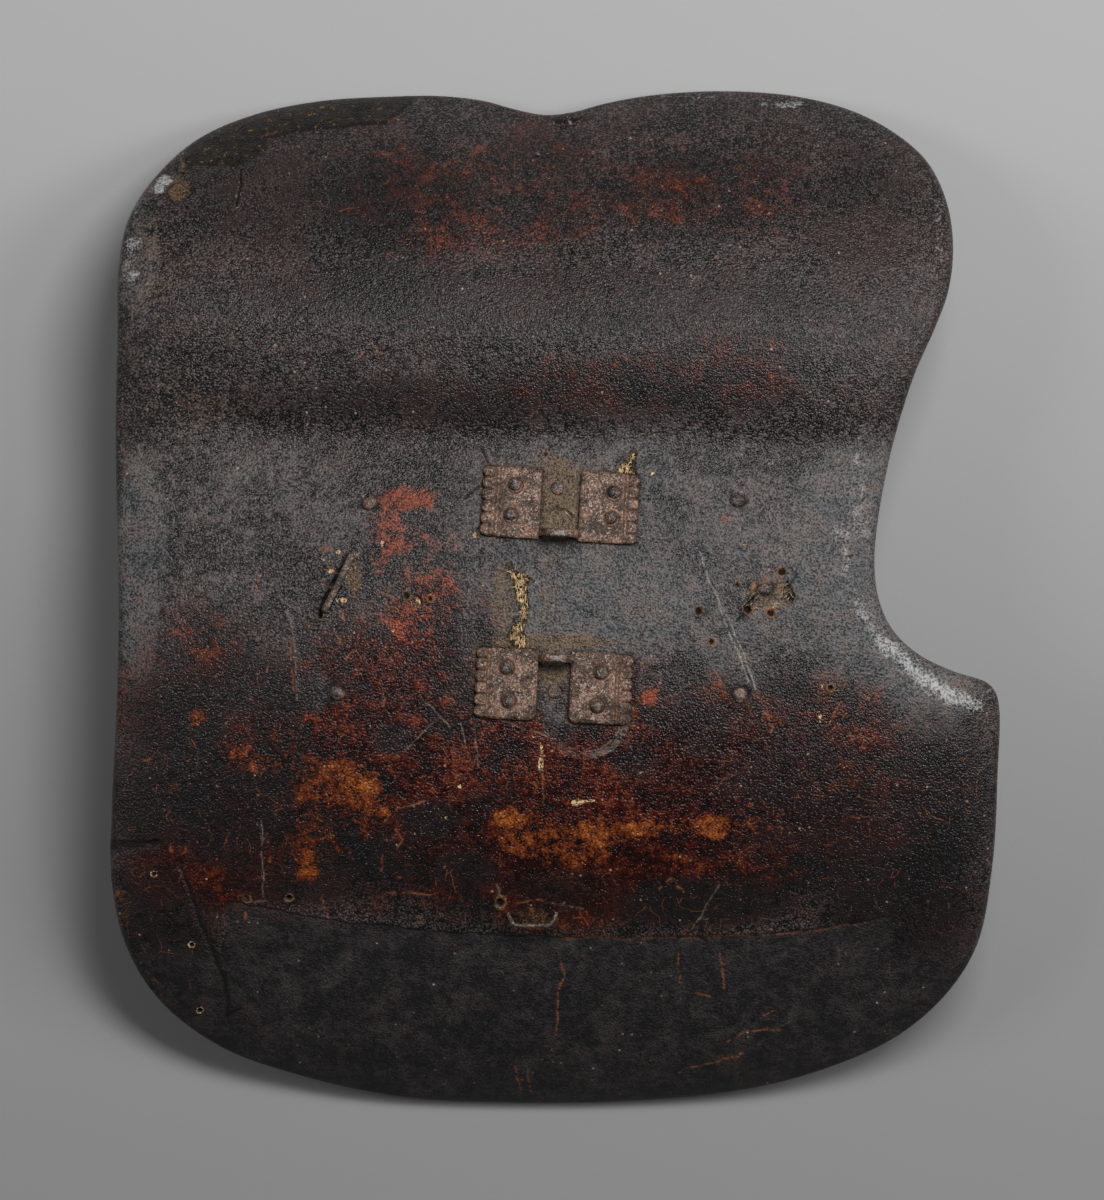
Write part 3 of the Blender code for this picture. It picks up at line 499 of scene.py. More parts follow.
# Ribbon, depth, share of pale tow and raggedness of each tear
TEARS = [
    (CENTRE_TEAR, 0.0022, 1.0, 0.0024), (FLAP_TEAR, 0.0013, 1.0, 0.0011),
    (STAPLE_HOLLOW, 0.0016, 0.25, 0.0011), (NOTCH_TEAR, 0.0010, 0.4, 0.0011),
]
TEARS += [(points, 0.0020, 0.35, 0.0006) for points in PATCH_TEARS]

# Depth, half width and darkness of each kind of line; the darkness, where given, is painted shade along the
# groove
LOWER_SEAM_CUT = (0.0003, 0.0006, 0.7)
PATCH_SEAM_CUT = (0.0008, 0.0015, 0.85)
PATCH_BRANCH_CUT = (0.0006, 0.0009, 0.8)
STAPLE_SHADE_CUT = (0.0009, 0.0013, 1.0)
CRACK_CUT = (0.0010, 0.0005, 1.0)
STRONG_SCRATCH_CUT = (0.00018, 0.00034)
PALE_SCRATCH_CUT = (0.00012, 0.00030)
ORANGE_SCRATCH_CUT = (0.00014, 0.00040)

# Height, hill width, seed and octaves of the hide's own waves
HIDE_WAVES = [(0.0006, 0.070, 11, 2), (0.00026, 0.018, 21, 4), (0.00005, 0.006, 31, 2)]

# Other sizes of the marks: metres, with pixels for wander and for places in the photograph
WANDER = 2.0
WANDER_CELL = 0.007
PANEL_EDGE = 930
PANEL_DEEP_EDGE = 985
PANEL_FADE = 45.0
PANEL_DEPTH = 0.0006
SOFT_WALL = 0.0006
STEP_WALL = 0.0008
LIP_HALF = 0.0007
LIP_RISE = 0.0006
HOLE_DEPTH = 0.0018
COLLAR_PLACE = 1.40
COLLAR_HALF = 0.0005
RING_HOLE_REACH = 4.0
RING_HOLE_SQUASH = 1.0 / 1.15
RING_HOLE_COLLAR = (0.00045, 0.0017)
CHIP_DEPTH = 0.0004
RAISED_RIM = 0.0004
SCUFF_HALF = 0.00045
RAGGED_REACH = 0.011
RAGGED_DEPTH = 0.0011
MARGIN_HALF = 0.0046
MARGIN_BRIGHT_FROM = 610

# Zones of colour: middle, half axes and strength, in pixels of the photograph
# Dust zones give a grey dusty bloom; along the left edge, the top left rim, the right edge and round the
# notch they are also painted sheen, lighter where the side lights fall
DUST_AND_SHEEN_ZONES = [
    (640, 520, 240, 120, 0.68), (556, 690, 26, 30, 0.5), (870, 560, 120, 130, 1.0),
    (240, 510, 170, 110, 0.55), (552, 310, 420, 36, 0.26), (552, 385, 420, 60, 0.18),
    (200, 610, 110, 60, 0.25), (138, 560, 26, 120, 1.0), (610, 600, 130, 66, 0.9),
    (140, 540, 34, 90, 0.9), (930, 610, 60, 130, 1.0), (135, 250, 30, 90, 0.6), (740, 640, 70, 50, 0.7),
    (590, 715, 44, 44, 0.55),
]
RED_ZONES = [
    (590, 800, 290, 118, 1.0), (375, 722, 95, 84, 1.0), (280, 770, 90, 90, 0.7), (800, 760, 110, 90, 0.6),
    (405, 205, 90, 60, 0.46), (705, 195, 120, 50, 0.40), (520, 190, 90, 70, 0.32),
    (440, 640, 50, 60, 0.8), (225, 860, 90, 50, 0.6), (880, 800, 90, 80, 0.45), (190, 690, 70, 80, 0.6),
    (640, 385, 170, 34, 0.42), (740, 350, 60, 24, 0.34), (330, 118, 70, 10, 0.5),
]
GREY_ZONES = [
    (150, 640, 40, 60, 0.5), (316, 690, 15, 20, 0.9), (556, 690, 27, 42, 1.0), (468, 620, 12, 60, 0.8),
    (660, 690, 30, 30, 0.5),
]
BLACK_ZONES = [
    (600, 300, 260, 34, 0.32), (380, 290, 140, 30, 0.32), (540, 400, 280, 26, 0.34),
    (290, 200, 110, 60, 0.26), (860, 215, 60, 70, 0.26), (225, 825, 46, 44, 0.7), (244, 784, 30, 16, 0.9),
    (180, 730, 50, 60, 0.6), (392, 738, 22, 16, 0.9), (412, 842, 60, 14, 0.6), (378, 868, 50, 16, 0.7),
    (430, 820, 32, 20, 1.0), (268, 805, 26, 34, 0.9), (358, 850, 26, 15, 0.9), (465, 870, 36, 22, 0.9),
    (700, 730, 36, 34, 0.7), (250, 690, 60, 36, 0.6), (790, 795, 90, 60, 0.7), (560, 885, 70, 20, 0.6),
    (700, 900, 90, 24, 0.8), (180, 790, 50, 30, 0.6), (840, 850, 60, 50, 0.6), (340, 200, 90, 44, 0.30),
    (480, 810, 26, 18, 0.6), (900, 900, 80, 70, 0.55), (160, 940, 60, 90, 0.5), (300, 880, 90, 26, 0.5),
    (150, 800, 40, 60, 0.6), (940, 800, 50, 90, 0.6), (640, 760, 26, 22, 0.5),
]
ORANGE_ZONES = [
    (196, 718, 11, 14, 1.0), (238, 752, 20, 10, 0.85), (268, 764, 26, 10, 0.85), (345, 785, 60, 32, 0.70),
    (372, 784, 13, 16, 1.20), (378, 808, 14, 12, 0.9), (340, 770, 26, 12, 0.85), (308, 864, 13, 20, 1.10),
    (318, 840, 40, 26, 0.45), (172, 786, 8, 7, 0.7), (360, 830, 40, 12, 0.5), (513, 818, 22, 12, 1.15),
    (525, 840, 34, 14, 0.75), (560, 838, 60, 22, 0.75), (596, 832, 18, 16, 1.0), (645, 829, 60, 8, 0.95),
    (716, 828, 24, 16, 1.05), (562, 846, 70, 20, 0.80), (640, 860, 90, 16, 0.35),
    (850, 775, 60, 20, 0.42), (810, 875, 60, 18, 0.3), (534, 915, 30, 14, 0.55), (175, 790, 16, 12, 0.4),
    (215, 885, 40, 16, 0.42), (745, 815, 40, 16, 0.5),
]
STAIN_ZONES = [
    (406, 498, 30, 13, 0.95), (424, 560, 38, 60, 0.40), (386, 535, 20, 44, 0.55), (412, 616, 38, 22, 0.50),
    (651, 698, 9, 9, 0.95), (302, 714, 8, 7, 0.5), (722, 519, 9, 5, 0.5), (500, 180, 20, 30, 0.1),
]
TAN_ZONES = [
    (559, 500, 22, 40, 1.4), (553, 668, 18, 16, 1.1), (503, 598, 14, 44, 0.62), (548, 596, 12, 54, 0.42),
    (556, 642, 74, 8, 0.85), (354, 578, 8, 22, 0.8), (772, 594, 26, 18, 0.75), (556, 690, 13, 16, 0.45),
    (534, 918, 24, 12, 0.5), (178, 190, 12, 11, 1.1), (184, 168, 7, 7, 0.8), (870, 500, 9, 60, 0.35),
    (950, 688, 26, 7, 0.5), (560, 462, 90, 7, 0.35), (486, 560, 10, 20, 0.3), (150, 260, 22, 60, 0.35),
    (190, 400, 60, 40, 0.28),
]


def line_distance(px, py, points):
    """Distance in metres from pixels to a line through points, and the share along it."""
    points = np.array(points, dtype=float)[:, :2]
    best = np.full(np.shape(px), np.inf)
    share = np.zeros(np.shape(px))
    for index, (start, stop) in enumerate(zip(points, points[1:])):
        span = stop - start
        dx = px - start[0]
        dy = py - start[1]
        along = np.clip((dx * span[0] + dy * span[1]) / (span ** 2).sum(), 0.0, 1.0)
        gap = np.hypot(dx - along * span[0], dy - along * span[1])
        share = np.where(gap < best, index + along, share)
        best = np.minimum(best, gap)
    return best * METRES_PER_PIXEL, share


def ribbon_depth(px, py, points):
    """How far inside a ribbon of varying half width pixels lie, in metres; negative outside."""
    gap, share = line_distance(px, py, points)
    half = np.interp(share, np.arange(len(points)), [point[2] for point in points])
    return half * METRES_PER_PIXEL - gap


def height_of_line(px, points):
    """The line's y at each x, in pixels."""
    return np.interp(px, [point[0] for point in points], [point[1] for point in points])


def ellipse_distance(px, py, centre_x, centre_y, reach_x=1.0, reach_y=1.0):
    """Distance from an ellipse's middle: 1 on the ellipse itself."""
    return np.hypot((px - centre_x) / reach_x, (py - centre_y) / reach_y)


def zone(px, py, zones):
    """The strongest of soft elliptical zones at each place, from 0 to 1."""
    total = np.zeros(np.shape(px))
    for *ellipse, strength in zones:
        total = np.maximum(total, strength * smooth_step(1.5 - ellipse_distance(px, py, *ellipse)))
    return total


def pit(gap, radius, softness):
    """1 inside a radius and 0 outside, with a soft wall."""
    return smooth_step((radius - gap) / softness + 0.5)


def ridge(gap, half, place=0.0):
    """1 where the gap is the given one, fading to 0 over a few half widths."""
    return np.exp(-((gap - place) / half) ** 2)


class Relief:
    """Height changes in metres and colour masks over places on the back."""

    ZONES = {
        "dust": DUST_AND_SHEEN_ZONES, "red": RED_ZONES, "black": BLACK_ZONES, "orange": ORANGE_ZONES,
        "stain": STAIN_ZONES, "tan": TAN_ZONES,
    }
    DRAWN = ("bare", "soot", "pale", "hair", "panel", "crust", "glint")

    def __init__(self, x, y, px, py):
        self.x = x
        self.y = y
        self.px = px
        self.py = py
        self.qx = px + WANDER * self.noise(WANDER_CELL, 41)
        self.qy = py + WANDER * self.noise(WANDER_CELL, 51)
        self.height = sum(rise * self.noise(*facts) for rise, *facts in HIDE_WAVES)
        self.masks = {name: zone(px, py, zones) for name, zones in self.ZONES.items()}
        self.masks["red"] *= 1.0 - zone(px, py, GREY_ZONES)
        self.masks.update((name, np.zeros(np.shape(x))) for name in self.DRAWN)

    def noise(self, cell, seed, octaves=4):
        return rough_noise(self.x, self.y, cell, seed, octaves)

    def gap(self, points, steady=False):
        """Distance to a line, which wanders a little unless it is steady."""
        px, py = (self.px, self.py) if steady else (self.qx, self.qy)
        return line_distance(px, py, points)[0]

    def mark(self, name, values):
        self.masks[name] = np.maximum(self.masks[name], values)

    def groove(self, points, depth, half, soot=0.0, steady=False):
        line = ridge(self.gap(points, steady), half)
        self.height -= depth * line
        # Painted shade: the groove is darkened along its line
        self.mark("soot", soot * line)
        return line

    def bottom_panel(self):
        """The panel below the seam lies a little lower than the hide above it."""
        seam = height_of_line(self.px, LOWER_SEAM)
        below = smooth_step((self.qy - seam) * METRES_PER_PIXEL / STEP_WALL + 0.5)
        inside = (self.px > LOWER_SEAM[0][0] - 10) & (self.px < LOWER_SEAM[-1][0] + 10)
        below = np.where(inside, below, 0.0)
        self.mark("panel", np.maximum(below, smooth_step((self.py - PANEL_EDGE) / PANEL_FADE)))
        self.height -= PANEL_DEPTH * below * smooth_step((PANEL_DEEP_EDGE - self.py) / PANEL_FADE)
        self.groove(LOWER_SEAM, *LOWER_SEAM_CUT)
        self.mark("hair", 0.5 * ridge(self.gap(RED_SEAM), 0.0006))

    def left_patch(self):
        self.groove(PATCH_SEAM, *PATCH_SEAM_CUT)
        self.groove(PATCH_BRANCH, *PATCH_BRANCH_CUT)
        lumps = 0.0016 * self.noise(0.006, 171)
        slot = self.gap(PATCH_SLOT) + lumps
        end = ellipse_distance(self.qx, self.qy, *PATCH_SLOT_END, 1.0, PATCH_SLOT_SQUASH)
        end = end * METRES_PER_PIXEL + lumps
        self.height -= 0.0004 * pit(slot, 0.0020, 0.0024) + 0.0010 * pit(end, 0.0030, 0.0018)
        # Painted shade in the slot and at its end
        self.mark("soot", np.maximum(0.8 * pit(slot, 0.0028, 0.0034), pit(end, 0.0036, 0.0022)))

    def tear(self, points, deep, pale, ragged):
        """An opening with raised lips; the tow under it is pale, with painted shade in its gaps and along the
        opening's edge.
        """
        inner = ribbon_depth(self.px, self.py, points) + ragged * self.noise(0.0040, 61)
        inside = smooth_step(inner / SOFT_WALL + 0.5)
        lumps = self.noise(0.0024, 71, 3)
        floor = deep * (0.7 + 0.6 * lumps)
        self.height = self.height * (1.0 - inside) - floor * inside
        self.height += LIP_RISE * ridge(inner, LIP_HALF, -LIP_HALF)
        self.mark("bare", pale * inside)
        # Painted shade in the gaps of the tow and along the tear's edge
        self.mark("soot", inside * smooth_step((0.02 - lumps) / 0.10))
        self.mark("soot", 0.8 * ridge(inner, 0.0003))

    def tears(self):
        for facts in TEARS:
            self.tear(*facts)
        self.groove(STAPLE_SHADE, *STAPLE_SHADE_CUT, steady=True)
        for points in CRACKS:
            gap = self.gap(points)
            self.groove(points, *CRACK_CUT)
            self.height += 0.0003 * ridge(gap, 0.0007, 0.0012)
            self.mark("bare", 0.45 * ridge(gap, 0.0006, 0.0010))
        for points in CREASES:
            gap = self.gap(points, steady=True)
            self.height += 0.0005 * ridge(gap, 0.0016)
            self.mark("pale", 0.3 * ridge(gap, 0.0005))

    def holes(self):
        for hole_x, hole_y, reach in HOLES:
            gap = ellipse_distance(self.qx, self.qy, hole_x, hole_y) * METRES_PER_PIXEL
            radius = reach * METRES_PER_PIXEL
            inside = pit(gap, radius, SOFT_WALL)
            collar = ridge(gap, COLLAR_HALF, COLLAR_PLACE * radius)
            self.height += RAISED_RIM * collar - HOLE_DEPTH * inside
            # Painted shade inside the hole
            self.mark("soot", inside)
            self.mark("hair", 0.9 * collar * smooth_step(0.6 + 2.0 * self.noise(0.003, 141)))
            self.mark("tan", 0.9 * smooth_step((2.4 * radius - gap) / (1.2 * radius)))
        for ring_x, ring_y in RING_HOLES:
            away = ellipse_distance(self.px, self.py, ring_x, ring_y, 1.0, RING_HOLE_SQUASH)
            gap = away * METRES_PER_PIXEL
            ring = ridge(gap, *RING_HOLE_COLLAR)
            self.height += RAISED_RIM * ring - 0.0012 * pit(gap, 0.0011, 0.0005)
            # Painted shade inside the ring hole
            self.mark("soot", pit(gap, 0.0010, 0.0005))
            self.mark("bare", ring)

    def scratches(self):
        for points in STRONG_SCRATCHES:
            self.mark("pale", self.groove(points, *STRONG_SCRATCH_CUT))
        for points in PALE_SCRATCHES:
            self.mark("pale", 0.45 * self.groove(points, *PALE_SCRATCH_CUT))
        for points in ORANGE_SCRATCHES:
            self.mark("hair", self.groove(points, *ORANGE_SCRATCH_CUT))
        for ellipse in CHIPS:
            chip = smooth_step((1.15 - ellipse_distance(self.qx, self.qy, *ellipse)) / 0.4)
            self.height -= CHIP_DEPTH * chip
            self.mark("bare", chip)
            self.masks["soot"] *= 1.0 - chip

    def ring_scuff(self):
        """Part of a rubbed ring round the lower bracket's foot, strongest at its lower right."""
        away = ellipse_distance(self.px, self.py, *SCUFF_CENTRE)
        turn = np.degrees(np.arctan2(self.py - SCUFF_CENTRE[1], self.px - SCUFF_CENTRE[0]))
        part = smooth_step((turn + 20.0) / 30.0) * smooth_step((185.0 - turn) / 30.0)
        for radius in SCUFF_RADII:
            line = ridge((away - radius) * METRES_PER_PIXEL, SCUFF_HALF) * part
            self.height -= 0.00010 * line
            self.mark("pale", (0.15 + 0.35 * ridge(turn, 45.0, 45.0)) * line)

    def crust(self):
        """Old crust along the top left rim, with scabs by it."""
        inside = (height_of_line(self.px, CRUST_EDGE) - self.qy) * METRES_PER_PIXEL
        first, last = CRUST_EDGE[0][0], CRUST_EDGE[-1][0]
        across = smooth_step((self.px - first) / 4.0) * smooth_step((last - self.px) / 10.0)
        near_rim = smooth_step((0.060 - edge_distance(self.x, self.y)) / 0.01)
        crust = smooth_step(inside / STEP_WALL + 0.5) * across * near_rim
        self.height += crust * (0.0004 + 0.0005 * self.noise(0.005, 95))
        self.mark("crust", crust)
        # A dark line along the crust's lower edge
        self.mark("soot", 0.8 * across * ridge(inside, 0.0007))
        for *ellipse, strength in SCABS:
            away = ellipse_distance(self.qx, self.qy, *ellipse) + 0.15 * self.noise(0.004, 97)
            self.height += 0.0005 * smooth_step((1.0 - away) / 0.2)
            self.mark("tan", strength * smooth_step((1.0 - away) / 0.1))
            # A dark ring round each scab
            self.mark("soot", 0.9 * ridge(away, 0.10, 1.0))

    def rim(self):
        """Painted highlights along the notch's margin and at the rim's glints, and the ragged, split rim at
        the lower left.
        """
        brighter = smooth_step((self.py - MARGIN_BRIGHT_FROM) / 50.0)
        self.mark("glint", zone(self.px, self.py, GLINTS))
        self.mark("glint", (0.35 + 0.6 * brighter) * ridge(self.gap(MARGIN, steady=True), MARGIN_HALF))
        ragged = smooth_step((RAGGED_REACH - self.gap(RAGGED_RIM, steady=True)) / 0.006)
        flakes = self.noise(0.0070, 101)
        self.height -= RAGGED_DEPTH * ragged * smooth_step((flakes + 0.1) / 0.25)
        # Darkens the edges of the rim's broken flakes
        self.mark("soot", 0.9 * ragged * ridge(flakes, 0.06, -0.02))
        self.mark("tan", 0.22 * ragged)

    def round_fittings(self):
        """Rust stains, pressed leather and painted shade round the iron: a painted shadow under each bow, and
        painted shade along the plates' edges and round the nail heads.
        """
        # A painted shadow under each bow
        for centre_x, centre_y, reach in BRACKET_SHADOWS:
            along = ((self.px - centre_x) / reach) ** 4
            self.mark("soot", 0.9 * np.exp(-along - ((self.py - centre_y) / BRACKET_SHADOW_HALF) ** 2))
        # Painted shade in a ring round each nail head
        for place in BOARD_NAILS.values():
            away = ellipse_distance(self.x, self.y, *on_board(place)) - BOARD_HEAD[0] * BOARD_HEAD_SHARE
            self.mark("soot", 0.85 * ridge(away, 0.0007, 0.0002))
            self.height += 0.0005 * ridge(away, 0.0012, 0.0020)
        centre_x, centre_y = on_board(PATCH_RIVET_PLACE)
        away = ellipse_distance(self.x, self.y, centre_x, centre_y, PATCH_RIVET_STRETCH) - PATCH_HEAD[0]
        # Painted shade in a ring round the patch rivet's head
        self.mark("soot", 0.9 * ridge(away, 0.0006, 0.0004))
        self.mark("hair", ridge(away, 0.0006, 0.0016) * smooth_step((self.y - centre_y) / 0.003 + 0.6))
        self.height += 0.0006 * ridge(away, 0.0010, 0.0018)
        gap = near_bracket(self.x, self.y)
        # Painted shade along the edges of the bracket plates
        self.mark("soot", 0.75 * smooth_step((0.0010 - gap) / 0.0012))
        blotches = smooth_step(0.6 + 1.4 * self.noise(0.006, 151))
        self.mark("tan", 0.55 * smooth_step((0.0050 - gap) / 0.0050) * blotches)
        self.height -= 0.0003 * smooth_step((0.0006 - gap) / 0.0010)


def near_bracket(x, y):
    """Distance in plan outside the nearest bracket lobe; negative inside."""
    nearest = np.full(np.shape(x), 1.0)
    for facts in BRACKETS.values():
        centre_x, centre_y = on_board(facts["place"])
        across = x - centre_x
        along = y - centre_y
        u = across * math.cos(facts["tilt"]) - along * math.sin(facts["tilt"])
        v = across * math.sin(facts["tilt"]) + along * math.cos(facts["tilt"])
        beside = np.maximum(np.abs(u) - BRACKET_LENGTH / 2.0, facts["gap"] / 2.0 - np.abs(u))
        nearest = np.minimum(nearest, np.maximum(beside, np.abs(v) - BRACKET_HEIGHT / 2.0))
    return nearest


def board_relief(x, y, px, py):
    """All height changes and masks of the back."""
    made = Relief(x, y, px, py)
    made.bottom_panel()
    made.left_patch()
    made.crust()
    made.rim()
    made.tears()
    made.holes()
    made.scratches()
    made.ring_scuff()
    made.round_fittings()
    return made.height, made.masks


def needs_fine_mesh(px, py):
    """Where the board's mesh is cut finer: near each sharp feature."""
    scuff_radius = (SCUFF_RADII[0] + SCUFF_RADII[-1]) / 2.0
    near = np.abs(ellipse_distance(px, py, *SCUFF_CENTRE) - scuff_radius) < FINE_BY_SCUFF
    near &= py > SCUFF_CENTRE[1] - 6.0
    for points, *_ in TEARS:
        near |= ribbon_depth(px, py, points) > -FINE_BY_TEAR
    thin = [LOWER_SEAM, PATCH_SEAM, PATCH_BRANCH, *CRACKS, *CREASES]
    thin += STRONG_SCRATCHES + PALE_SCRATCHES + ORANGE_SCRATCHES
    lines = [(line, FINE_BY_LINE) for line in thin]
    for line, reach in lines + [(CRUST_EDGE, FINE_BY_CRUST), (PATCH_SLOT, FINE_BY_SLOT)]:
        near |= line_distance(px, py, line)[0] < reach
    for *ellipse, _ in SCABS:
        near |= np.abs(ellipse_distance(px, py, *ellipse) - 1.0) < FINE_BY_SCAB
    for hole_x, hole_y, radius in HOLES + [(*ring, RING_HOLE_REACH) for ring in RING_HOLES]:
        near |= ellipse_distance(px, py, hole_x, hole_y) < radius + FINE_BY_HOLE
    for *middle, reach_x, reach_y in CHIPS:
        near |= ellipse_distance(px, py, *middle, reach_x + FINE_BY_CHIP, reach_y + FINE_BY_CHIP) < 1.0
    return near


# The board's mesh, as in the part's source but finer


def side_samples(first_knot, last_knot, cells):
    """Places on the outline from one knot to another, closer together where it turns."""
    places = np.arange(first_knot * OUTLINE_STEPS, last_knot * OUTLINE_STEPS + 1)
    run, earlier, later = (OUTLINE[(places + shift) % len(OUTLINE)] for shift in (0, -1, 1))
    before = run - earlier
    after = later - run
    turn = np.arctan2(after[:, 1], after[:, 0]) - np.arctan2(before[:, 1], before[:, 0])
    turn = np.abs((turn + math.pi) % (2.0 * math.pi) - math.pi)
    lengths = np.linalg.norm(np.diff(run, axis=0), axis=1)
    weights = lengths + TURN_WEIGHT * (turn[:-1] + turn[1:]) / 2.0
    travelled = np.concatenate([[0.0], np.cumsum(weights)])
    wanted = np.linspace(0.0, travelled[-1], cells + 1)[:-1]
    return np.stack([np.interp(wanted, travelled, run[:, axis]) for axis in (0, 1)], axis=1)


def smoothed(loop, rounds):
    for _ in range(rounds):
        loop = (np.roll(loop, 1, axis=0) + 2.0 * loop + np.roll(loop, -1, axis=0)) / 4.0
    return loop


def boundary_loop():
    """Rim places in order, clockwise from the top left corner, and their outward directions."""
    sides = (TOP_EDGE, RIGHT_SHOULDER + LANCE_NOTCH + RIGHT_SIDE, BOTTOM_EDGE, LEFT_SIDE)
    ends = np.cumsum([0] + [len(side) for side in sides])
    cells = (COLUMNS, ROWS, COLUMNS, ROWS)
    rim = np.concatenate([side_samples(*facts) for facts in zip(ends, ends[1:], cells)])
    along = np.roll(rim, -1, axis=0) - np.roll(rim, 1, axis=0)
    along = along / np.linalg.norm(along, axis=1, keepdims=True)
    outward = np.stack([-along[:, 1], along[:, 0]], axis=1)
    return rim, outward


def inner_loop(rim, outward):
    """The loop that bounds the grid, one ROLL_BAND in from the rim, without crossings."""
    gentle = smoothed(outward, DIRECTION_SMOOTHING)
    gentle = gentle / np.linalg.norm(gentle, axis=1, keepdims=True)
    return smoothed(rim - ROLL_BAND * gentle, INNER_SMOOTHING)


def grid_inside(loop):
    """Plan places of a grid blended between the four sides of the loop, [column][row]."""
    top = loop[:COLUMNS + 1]
    right = loop[COLUMNS:COLUMNS + ROWS + 1][::-1]
    bottom = loop[COLUMNS + ROWS:2 * COLUMNS + ROWS + 1][::-1]
    left = np.concatenate([loop[2 * COLUMNS + ROWS:], loop[:1]])
    u = np.linspace(0.0, 1.0, COLUMNS + 1)[:, None, None]
    v = np.linspace(0.0, 1.0, ROWS + 1)[None, :, None]
    between_ends = (1.0 - v) * bottom[:, None, :] + v * top[:, None, :]
    between_sides = (1.0 - u) * left[None, :, :] + u * right[None, :, :]
    corners = (1.0 - u) * ((1.0 - v) * bottom[0] + v * top[0])
    corners = corners + u * ((1.0 - v) * bottom[-1] + v * top[-1])
    return between_ends + between_sides - corners


def loop_indices():
    """Grid places of the loop's points, in the loop's own order."""
    order = [(column, ROWS) for column in range(COLUMNS)]
    order += [(COLUMNS, row) for row in range(ROWS, 0, -1)]
    order += [(column, 0) for column in range(COLUMNS, 0, -1)]
    order += [(0, row) for row in range(ROWS)]
    return order


def rim_arcs(rim, outward):
    """Half round rim: points and directions of each loop, from the back's edge to the front's."""
    radius = THICKNESS / 2.0
    place = rim - radius * outward
    for _ in range(2):
        normal = back_normal(place[:, 0], place[:, 1])
        place = rim - radius * outward + radius * normal[:, :2]
    edge = np.column_stack([place, back_height(place[:, 0], place[:, 1])])
    level = np.column_stack([outward, np.zeros(len(outward))])
    tangent = np.roll(edge, -1, axis=0) - np.roll(edge, 1, axis=0)
    side = np.cross(normal, tangent)
    side = side / np.linalg.norm(side, axis=1, keepdims=True)
    side = side * np.sign((side * level).sum(axis=1, keepdims=True))
    centre = edge - radius * normal
    loops = []
    for step in range(RIM_STEPS + 1):
        turn = math.pi * step / RIM_STEPS
        direction = math.cos(turn) * normal + math.sin(turn) * side
        loops.append((centre + radius * direction, direction))
    return loops


def band_faces(first, second):
    """Four sided faces between two closed rings of vertices."""
    return np.stack([first, np.roll(first, -1), np.roll(second, -1), second], axis=1).tolist()


def sheet_faces(index):
    """Four sided faces of a grid of vertices."""
    cells = [index[:-1, :-1], index[1:, :-1], index[1:, 1:], index[:-1, 1:]]
    return np.stack([cell.ravel() for cell in cells], axis=1).tolist()


def add_object(name, data):
    made = bpy.data.objects.new(name, data)
    bpy.context.collection.objects.link(made)
    return made


def write_masks(mesh, masks):
    for name, values in masks.items():
        layer = mesh.attributes.new(name, "FLOAT", "POINT")
        layer.data.foreach_set("value", np.asarray(values, dtype=np.float32))


class BoardMesh:
    """Collects the coarse board: vertices, outward directions, faces and which side each is on."""

    BACK, RIM, FRONT = 0, 1, 2

    def __init__(self):
        self.verts = []
        self.directions = []
        self.sides = []
        self.faces = []

    def add(self, points, directions, side):
        first = sum(len(block) for block in self.verts)
        self.verts.append(points)
        self.directions.append(directions)
        self.sides.append(np.full(len(points), side))
        return np.arange(first, first + len(points))

    def bands(self, rings, previous):
        """Joins each ring of points to the one before it, and returns the last one's indices."""
        for ring in rings:
            current = self.add(*ring)
            self.faces += band_faces(current, previous)
            previous = current
        return previous


def on_back(plan):
    """Points and normals of the back at plan places."""
    height = back_height(plan[:, 0], plan[:, 1])
    return np.column_stack([plan, height]), back_normal(plan[:, 0], plan[:, 1])


def coarse_board():
    """The whole board before its relief: back grid, rolled band, rim and front."""
    rim, outward = boundary_loop()
    loop = inner_loop(rim, outward)
    grid = grid_inside(loop)
    arcs = rim_arcs(rim, outward)
    board = BoardMesh()

    index = board.add(*on_back(grid.reshape(-1, 2)), board.BACK).reshape(COLUMNS + 1, ROWS + 1)
    board.faces += sheet_faces(index)
    previous = np.array([index[place] for place in loop_indices()])
    edge_plan = arcs[0][0][:, :2]
    shares = [step / BAND_RINGS for step in range(1, BAND_RINGS)]
    rolled = [on_back(loop + (edge_plan - loop) * share) for share in shares]
    rings = [(points, normals, board.BACK) for points, normals in rolled]
    rings += [(points, directions, board.RIM) for points, directions in arcs]
    rings += [
        (points - THICKNESS * normals, -normals, board.FRONT) for points, normals in rolled[::-3]
    ]
    previous = board.bands(rings, previous)

    points, normals = on_back(grid[::2, ::2].reshape(-1, 2))
    index = board.add(points - THICKNESS * normals, -normals, board.FRONT)
    index = index.reshape(COLUMNS // 2 + 1, ROWS // 2 + 1)
    board.faces += sheet_faces(index.T)
    order = [index[column // 2, row // 2] for column, row in loop_indices()[::2]]
    count = len(order)
    for place in range(count):
        one, two, three = (int(previous[(2 * place + shift) % (2 * count)]) for shift in (0, 1, 2))
        first = int(order[place])
        second = int(order[(place + 1) % count])
        board.faces += [[one, two, first], [two, second, first], [two, three, second]]
    return board


